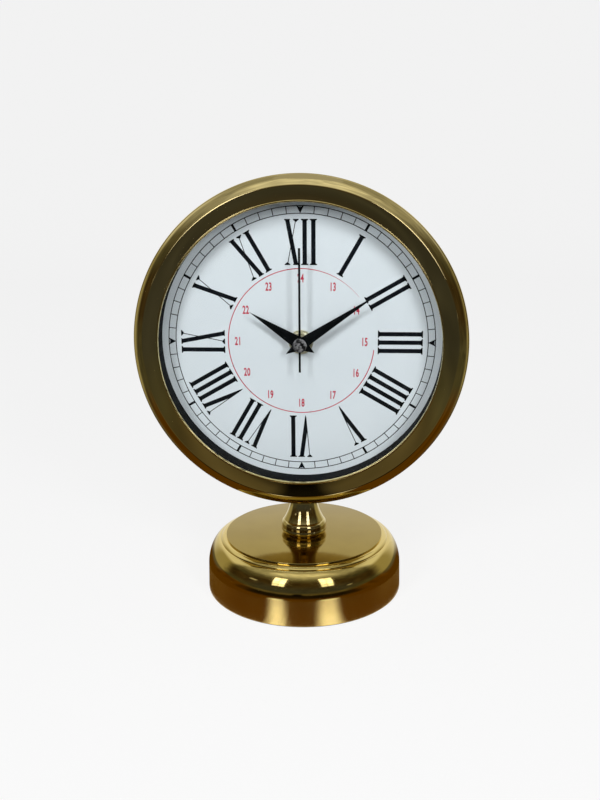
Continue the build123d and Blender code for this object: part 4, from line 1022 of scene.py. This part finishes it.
def nut_mesh():
    """Hexagon nut with a bored middle and corners turned off at the front."""
    shape = bmesh.new()
    flats, bore, thickness = 4.8, 4.02, 2.3
    corner_r, corner_slope, bore_edge = 4.95, 0.58, 0.3
    front, back = STEM_WASHER_Y - thickness, STEM_WASHER_Y
    rows = []
    for turn in round_turns(SMALL_RING_STEPS):
        wedge = (turn + math.pi / 6) % (math.pi / 3) - math.pi / 6
        edge = flats / math.cos(wedge)
        rim = min(edge, corner_r)
        drop = (edge - rim) * corner_slope
        column = [(back, bore), (back, edge), (front + drop + 0.02, edge), (front, rim - 0.03)]
        column += [(front, bore + bore_edge), (front + bore_edge, bore)]
        rows.append([shape.verts.new(head_point(y, r, turn)) for y, r in column])
    skinned(shape, rows)
    return mesh_of("stem_nut_turned", shape, [stem_brass], 22.0)


piece("stem_nut_turned", "case", "stem_brass", nut_mesh(), "stem_nut")


# Screws of the back cover

SCREW_HEAD_R, SCREW_SHANK_R, SCREW_LENGTH, SCREW_SEAT = 2.3, 1.2, 3.6, -0.2
DRIVER_SLOT = (6.0, 0.62, 1.3)


def screw_outline():
    """Half outline of a domed screw, from its crown down to the end of its shank."""
    dome = arc((0.0, -1.45), (SCREW_HEAD_R, 2.75), 90, 31, 12)
    seat = [(SCREW_HEAD_R, -0.08), (2.2, SCREW_SEAT), (SCREW_SHANK_R, SCREW_SEAT)]
    return dome + seat + [(SCREW_SHANK_R, -3.5), (0.9, -SCREW_LENGTH), (0.0, -SCREW_LENGTH)]


def slotted_screw(name):
    """One domed screw standing on the XY plane, its driver's slot cut across the head."""
    shape = bmesh.new()
    outline = screw_outline()
    rows = [[shape.verts.new(stand_point(z, r, turn)) for r, z in outline] for turn in round_turns(48)]
    skinned(shape, rows, closed=False)
    screw = placed(name, mesh_of(name, shape, [screw_brass]))
    blade = bmesh.new()
    blade_size = Matrix.Diagonal((*DRIVER_SLOT, 1.0))
    bmesh.ops.create_cube(blade, size=1.0, matrix=Matrix.Translation((0, 0, 1.3)) @ blade_size)
    cutter = placed("driver_blade", mesh_of("driver_blade", blade, [screw_brass]))
    cut = screw.modifiers.new("slot", "BOOLEAN")
    cut.operation = "DIFFERENCE"
    cut.solver = "EXACT"
    cut.object = cutter
    settled(screw)
    bpy.data.objects.remove(cutter)
    return screw


def screw_ring_tree():
    """Screws set round a rim, each head turned its own way."""
    tree = node_group(
        "screw_ring",
        [
            ("Screws", "NodeSocketInt", 4),
            ("Rim Radius", "NodeSocketFloat", 0.08),
            ("Rim Depth", "NodeSocketFloat", 0.01725),
            ("Rim Height", "NodeSocketFloat", 0.138),
            ("Screw", "NodeSocketObject", None),
            ("Finish", "NodeSocketMaterial", None),
        ],
    )
    given = tree.nodes.new("NodeGroupInput").outputs
    node = functools.partial(tree_node, tree)
    maths = functools.partial(tree_maths, tree)
    circle = node("GeometryNodeMeshCircle", Vertices=given["Screws"], Radius=given["Rim Radius"])
    index = node("GeometryNodeInputIndex").outputs[0]
    shift = maths("DIVIDE", math.pi, given["Screws"])
    turn = maths("ADD", maths("MULTIPLY", index, maths("DIVIDE", 2 * math.pi, given["Screws"])), shift)
    across = maths("MULTIPLY", maths("SINE", turn), given["Rim Radius"])
    up = maths("MULTIPLY", maths("COSINE", turn), given["Rim Radius"])
    height = maths("ADD", up, given["Rim Height"])
    rim = node("ShaderNodeCombineXYZ", X=across, Y=given["Rim Depth"], Z=height)
    place = node("GeometryNodeSetPosition", Geometry=circle.outputs["Mesh"], Position=rim.outputs[0])
    lean = node("ShaderNodeCombineXYZ", Y=turn)
    spin = node("ShaderNodeCombineXYZ", Z=maths("MULTIPLY", index, 1.1))
    head = node("GeometryNodeObjectInfo", Object=given["Screw"])
    heads = node(
        "GeometryNodeInstanceOnPoints",
        Points=place.outputs[0],
        Instance=head.outputs["Geometry"],
        Rotation=lean.outputs[0],
    )
    driven = node("GeometryNodeRotateInstances", Instances=heads.outputs[0], Rotation=spin.outputs[0])
    return ended(tree, driven.outputs[0], given["Finish"])


pattern_screw = slotted_screw("pattern_screw")
screws = grown("back_screws_driven", screw_ring_tree(), {"Screw": pattern_screw, "Finish": screw_brass})
bpy.data.objects.remove(pattern_screw)
smoothed(screws.data, 30.0)
fitted(screws, "case", "screw_brass", "back_screws")


# Camera, fitted to the photograph's view

CAMERA_AT = (32.08, -459.80, 227.12)
PAN, TILT, ROLL = math.radians(-4.204), math.radians(-14.94), math.radians(-0.40)
LENS = 40.787
ahead = Vector((math.sin(PAN) * math.cos(TILT), math.cos(PAN) * math.cos(TILT), math.sin(TILT)))
level = ahead.cross(Vector((0, 0, 1))).normalized()
upward = level.cross(ahead)
across = math.cos(ROLL) * level + math.sin(ROLL) * upward
upright = math.cos(ROLL) * upward - math.sin(ROLL) * level
camera_data = bpy.data.cameras.new("camera")
camera_data.lens = LENS
camera_data.sensor_width = 36.0
camera_data.clip_start = 0.01
camera = placed("camera", camera_data)
turn_to = Matrix((across, upright, -ahead)).transposed().to_4x4()
camera.matrix_world = Matrix.Translation(Vector(CAMERA_AT) * MM) @ turn_to
bpy.context.scene.camera = camera


# Light and floor

SKY_LIGHT, SKY_IN_GLOSS = 0.08, 0.46
world = bpy.data.worlds.new("studio")
bpy.context.scene.world = world
world.use_nodes = True
sky = world.node_tree
sky_path = sky.nodes.new("ShaderNodeLightPath")
sky_level = tree_node(
    sky, "ShaderNodeMapRange", i0=sky_path.outputs["Is Glossy Ray"], i3=SKY_LIGHT, i4=SKY_IN_GLOSS
)
feed(sky, sky.nodes["Background"].inputs[0], (0.97, 0.98, 1.0, 1))
feed(sky, sky.nodes["Background"].inputs[1], sky_level.outputs[0])


def lamp(name, place, width, height, power):
    """Soft box that faces the clock, unseen by the camera and in gloss."""
    data = bpy.data.lights.new(name, "AREA")
    data.shape = "RECTANGLE"
    data.size, data.size_y = width, height
    data.energy = power
    made = placed(name, data)
    made.location = place
    made.rotation_mode = "QUATERNION"
    made.rotation_quaternion = (Vector(AIM) - Vector(place)).to_track_quat("-Z", "Y")
    made.visible_camera = False
    made.visible_glossy = False
    return made


AIM = (0.0, 0.0, 0.12)
LEFT_BOX = (-0.47, -0.96, 0.56)
RIGHT_BOX = (0.54, -0.92, 0.56)
TOP_BOX = (0.03, -0.75, 0.78)
SIDE_BOX_SIZE, SIDE_BOX_POWER = (0.24, 0.4), 5.4
TOP_BOX_SIZE, TOP_BOX_POWER = (0.3, 0.2), 1.9
lamp("left_box", LEFT_BOX, *SIDE_BOX_SIZE, SIDE_BOX_POWER)
lamp("right_box", RIGHT_BOX, *SIDE_BOX_SIZE, SIDE_BOX_POWER)
lamp("top_box", TOP_BOX, *TOP_BOX_SIZE, TOP_BOX_POWER)


def floor_finish(white):
    """Matt white floor; its share of plain white shows to the eye and in gloss, and lights nothing."""
    made = bpy.data.materials.new("floor_white")
    made.use_nodes = True
    tree = made.node_tree
    tree.nodes.clear()
    maths = functools.partial(tree_maths, tree)
    path = tree.nodes.new("ShaderNodeLightPath").outputs
    seen = maths("MAXIMUM", path["Is Camera Ray"], path["Is Glossy Ray"])
    seen = maths("MAXIMUM", seen, path["Is Transmission Ray"])
    lit, shown = (0.4, 0.4, 0.4, 1), (0.94, 0.94, 0.94, 1)
    paint = tree_node(tree, "ShaderNodeMix", {"data_type": "RGBA"}, i0=seen, i6=lit, i7=shown)
    matt = tree_node(tree, "ShaderNodeBsdfDiffuse", i0=paint.outputs[2])
    glow = tree_node(tree, "ShaderNodeEmission", i0=(1, 1, 1, 1))
    direct = maths("LESS_THAN", path["Diffuse Depth"], 0.5)
    share = maths("MULTIPLY", maths("MULTIPLY", seen, direct), white)
    mix = tree_node(tree, "ShaderNodeMixShader", i0=share, i1=matt.outputs[0], i2=glow.outputs[0])
    tree_node(tree, "ShaderNodeOutputMaterial", i0=mix.outputs[0])
    return made


def stage_piece(name, mesh):
    """Object of the studio, no part of the clock."""
    made = placed(name, mesh)
    return made


def floor_cove():
    """Round floor just under the clock, curving up into a wall all round."""
    floor_r, bend, wall_top, drop = 1400.0, 500.0, 1500.0, 0.05
    white = 0.86
    curve = arc((floor_r, bend), bend, -90, 0, 16)[1:]
    outline = [(0.001, 0.0), (floor_r, 0.0)] + curve + [(floor_r + bend, wall_top)]
    shape = bmesh.new()
    turns = round_turns(SMALL_RING_STEPS)
    rows = [[shape.verts.new(stand_point(z - drop, r, turn)) for r, z in outline] for turn in turns]
    skinned(shape, rows, closed=False)
    return stage_piece("floor_cove", mesh_of("floor_cove", shape, [floor_finish(white)]))


floor_cove()


# Graded card round the clock, there only for the metal to reflect: warm and dark low in front, paler behind
# and above. Each row: height and reach, then the tone ahead, beside and behind
RUSSET = (0.1, 0.042, 0.001)
GLOOM = (0.014, 0.009, 0.002)
TAN = (0.1, 0.083, 0.046)
OLIVE = (0.07, 0.066, 0.04)
SLATE = (0.05, 0.05, 0.045)
UMBER = (0.05, 0.034, 0.014)
DUSK = (0.12, 0.11, 0.075)
CREAM = (0.36, 0.33, 0.2)
HAZE = (0.36, 0.36, 0.33)
PAPER = (0.8, 0.81, 0.82)
CARD_TONES = (
    ((0.3, 53.0), RUSSET, RUSSET, RUSSET),
    ((0.3, 92.0), RUSSET, RUSSET, RUSSET),
    ((0.3, 110.0), GLOOM, RUSSET, RUSSET),
    ((0.3, 165.0), GLOOM, RUSSET, DUSK),
    ((0.3, 208.0), TAN, RUSSET, DUSK),
    ((0.3, 335.0), TAN, OLIVE, CREAM),
    ((0.3, 450.0), OLIVE, OLIVE, CREAM),
    ((0.3, 720.0), SLATE, OLIVE, CREAM),
    ((130.0, 1300.0), SLATE, UMBER, CREAM),
    ((430.0, 1300.0), UMBER, UMBER, CREAM),
    ((630.0, 1300.0), UMBER, OLIVE, CREAM),
    ((900.0, 1300.0), DUSK, DUSK, PAPER),
    ((1320.0, 1300.0), HAZE, HAZE, PAPER),
    ((2200.0, 1300.0), PAPER, HAZE, HAZE),
    ((2500.0, 600.0), PAPER, HAZE, HAZE),
)


def eased(value, start, end):
    """Smooth step from nought at start to one at end."""
    share = min(1.0, max(0.0, (value - start) / (end - start)))
    return share * share * (3 - 2 * share)


def mixed(first, second, share):
    """Numbers that share of the way from the first ones to the second ones."""
    return tuple(f + (s - f) * share for f, s in zip(first, second))


# Degrees away from straight ahead between which one tone passes into the next
TO_SIDE, TO_BACK, TO_OPENING = (42.0, 72.0), (88.0, 106.0), (122.0, 150.0)
OPENING = (0.8, 0.8, 0.79)
# Two pale strips low in front: degrees aside, lean with the reach and where they fade out
STREAK = (1.2, 1.22, 1.24)
STREAKS = ((-14.0, -0.21, 7.5), (20.0, 0.14, 10.5))
STREAK_END, STREAK_MIDDLE, STREAK_CORE = 92.0, 61.0, 2.5
# Uneven tone further out: where it starts, how far aside it goes, its cells and its strength
CLUTTER_START, CLUTTER_ASIDE, CLUTTER_CELLS, CLUTTER = 100.0, 100.0, (8.0, 150.0, 110.0), 0.5
# Two far glints: height, degrees aside and level; then how far out they lie and half their size
GLINTS = ((350.0, -57.0, 0.6), (112.0, 55.0, 0.45))
GLINT_START, GLINT_HIGH, GLINT_WIDE = 1200.0, 34.0, 3.1
# Dark patch low in front: its reach, the degrees aside and the share of the tone that stays
PATCH_REACH, PATCH_ASIDE, PATCH_SHARE = (150.0, 306.0), (-8.5, 1.0), 0.06
FLAT_Z = 1.0


def card_tone(place, front, side, back, aside):
    """Tone of the card that many degrees away from straight ahead."""
    height, reach = place
    tone = mixed(front, side, eased(abs(aside), *TO_SIDE))
    tone = mixed(tone, back, eased(abs(aside), *TO_BACK))
    tone = mixed(tone, OPENING, eased(abs(aside), *TO_OPENING))
    flat = height < FLAT_Z
    if flat and reach < STREAK_END:
        for middle, lean, edge in STREAKS:
            away = abs(aside - (middle + lean * (reach - STREAK_MIDDLE)))
            tone = mixed(STREAK, tone, eased(away, STREAK_CORE, edge))
    if reach > CLUTTER_START and abs(aside) < CLUTTER_ASIDE:
        cell = Vector([size / step for size, step in zip((aside, height, reach), CLUTTER_CELLS)])
        clutter = noise.noise(cell)
        tone = tuple(t * (1 + CLUTTER * clutter) for t in tone)
    for high, beside, glint in GLINTS:
        if reach > GLINT_START and abs(height - high) < GLINT_HIGH and abs(aside - beside) < GLINT_WIDE:
            tone = (glint, glint, glint)
    in_patch = PATCH_REACH[0] < reach < PATCH_REACH[1] and PATCH_ASIDE[0] < aside < PATCH_ASIDE[1]
    return mixed((0.0, 0.0, 0.0), tone, PATCH_SHARE) if flat and in_patch else tone


def card_rows():
    """Places along the card with their tones, and finer steps between the listed ones."""
    for here, following in zip(CARD_TONES, CARD_TONES[1:]):
        for step in range(5):
            yield [mixed(first, second, step / 5) for first, second in zip(here, following)]
    yield CARD_TONES[-1]


def glowing_piece(name, shape):
    """Stage piece that shows its tones as they are to the metal and the glass, and lights nothing."""
    finish = Finish(name, (0.0, 0.0, 0.0), roughness=1.0)
    finish.put(
        Emission_Color=finish.node("ShaderNodeVertexColor", {"layer_name": "tone"}).outputs[0],
        Emission_Strength=1.0,
        Specular_IOR_Level=0.0,
    )
    finish.material.cycles.emission_sampling = "NONE"
    made = stage_piece(name, mesh_of(name, shape, [finish.material]))
    made.visible_camera = False
    made.visible_diffuse = False
    made.visible_shadow = False
    return made


def graded_card():
    """Card of those tones, seen by the metal and the glass alone."""
    shape = bmesh.new()
    tint = shape.verts.layers.float_color.new("tone")
    columns = []
    for aside in range(-150, 151, 3):
        column = []
        for place, front, side, back in card_rows():
            vert = shape.verts.new(stand_point(*place, math.radians(270 + aside)))
            vert[tint] = (*card_tone(place, front, side, back, aside), 1)
            column.append(vert)
        columns.append(column)
    skinned(shape, columns, closed=False, goes_round=False)
    return glowing_piece("graded_card", shape)


graded_card()


def box_fronts():
    """Panelled fronts of the two soft boxes, as the metal reflects them."""
    shape = bmesh.new()
    tint = shape.verts.layers.float_color.new("tone")
    panels = ((2.6, 2.1), (3.1, 2.8), (2.3, 3.0), (1.6, 1.9))
    panel, low, high = 0.15, 0.006, 0.144
    for middle in (LEFT_BOX, RIGHT_BOX):
        facing = (Vector(AIM) - Vector(middle)).normalized()
        side = facing.cross(Vector((0, 0, 1))).normalized()
        rise = side.cross(facing)
        for row, pair in enumerate(panels):
            for column, level in enumerate(pair):
                corner = Vector(middle) + side * (column - 1) * panel + rise * (1 - row) * panel
                verts = []
                for across, up in ((low, low), (high, low), (high, high), (low, high)):
                    vert = shape.verts.new((corner + side * across + rise * up) / MM)
                    vert[tint] = (level, level, level * 1.1, 1)
                    verts.append(vert)
                shape.faces.new(verts)
    return glowing_piece("box_fronts", shape)


box_fronts()

bpy.context.scene.view_settings.view_transform = "Standard"
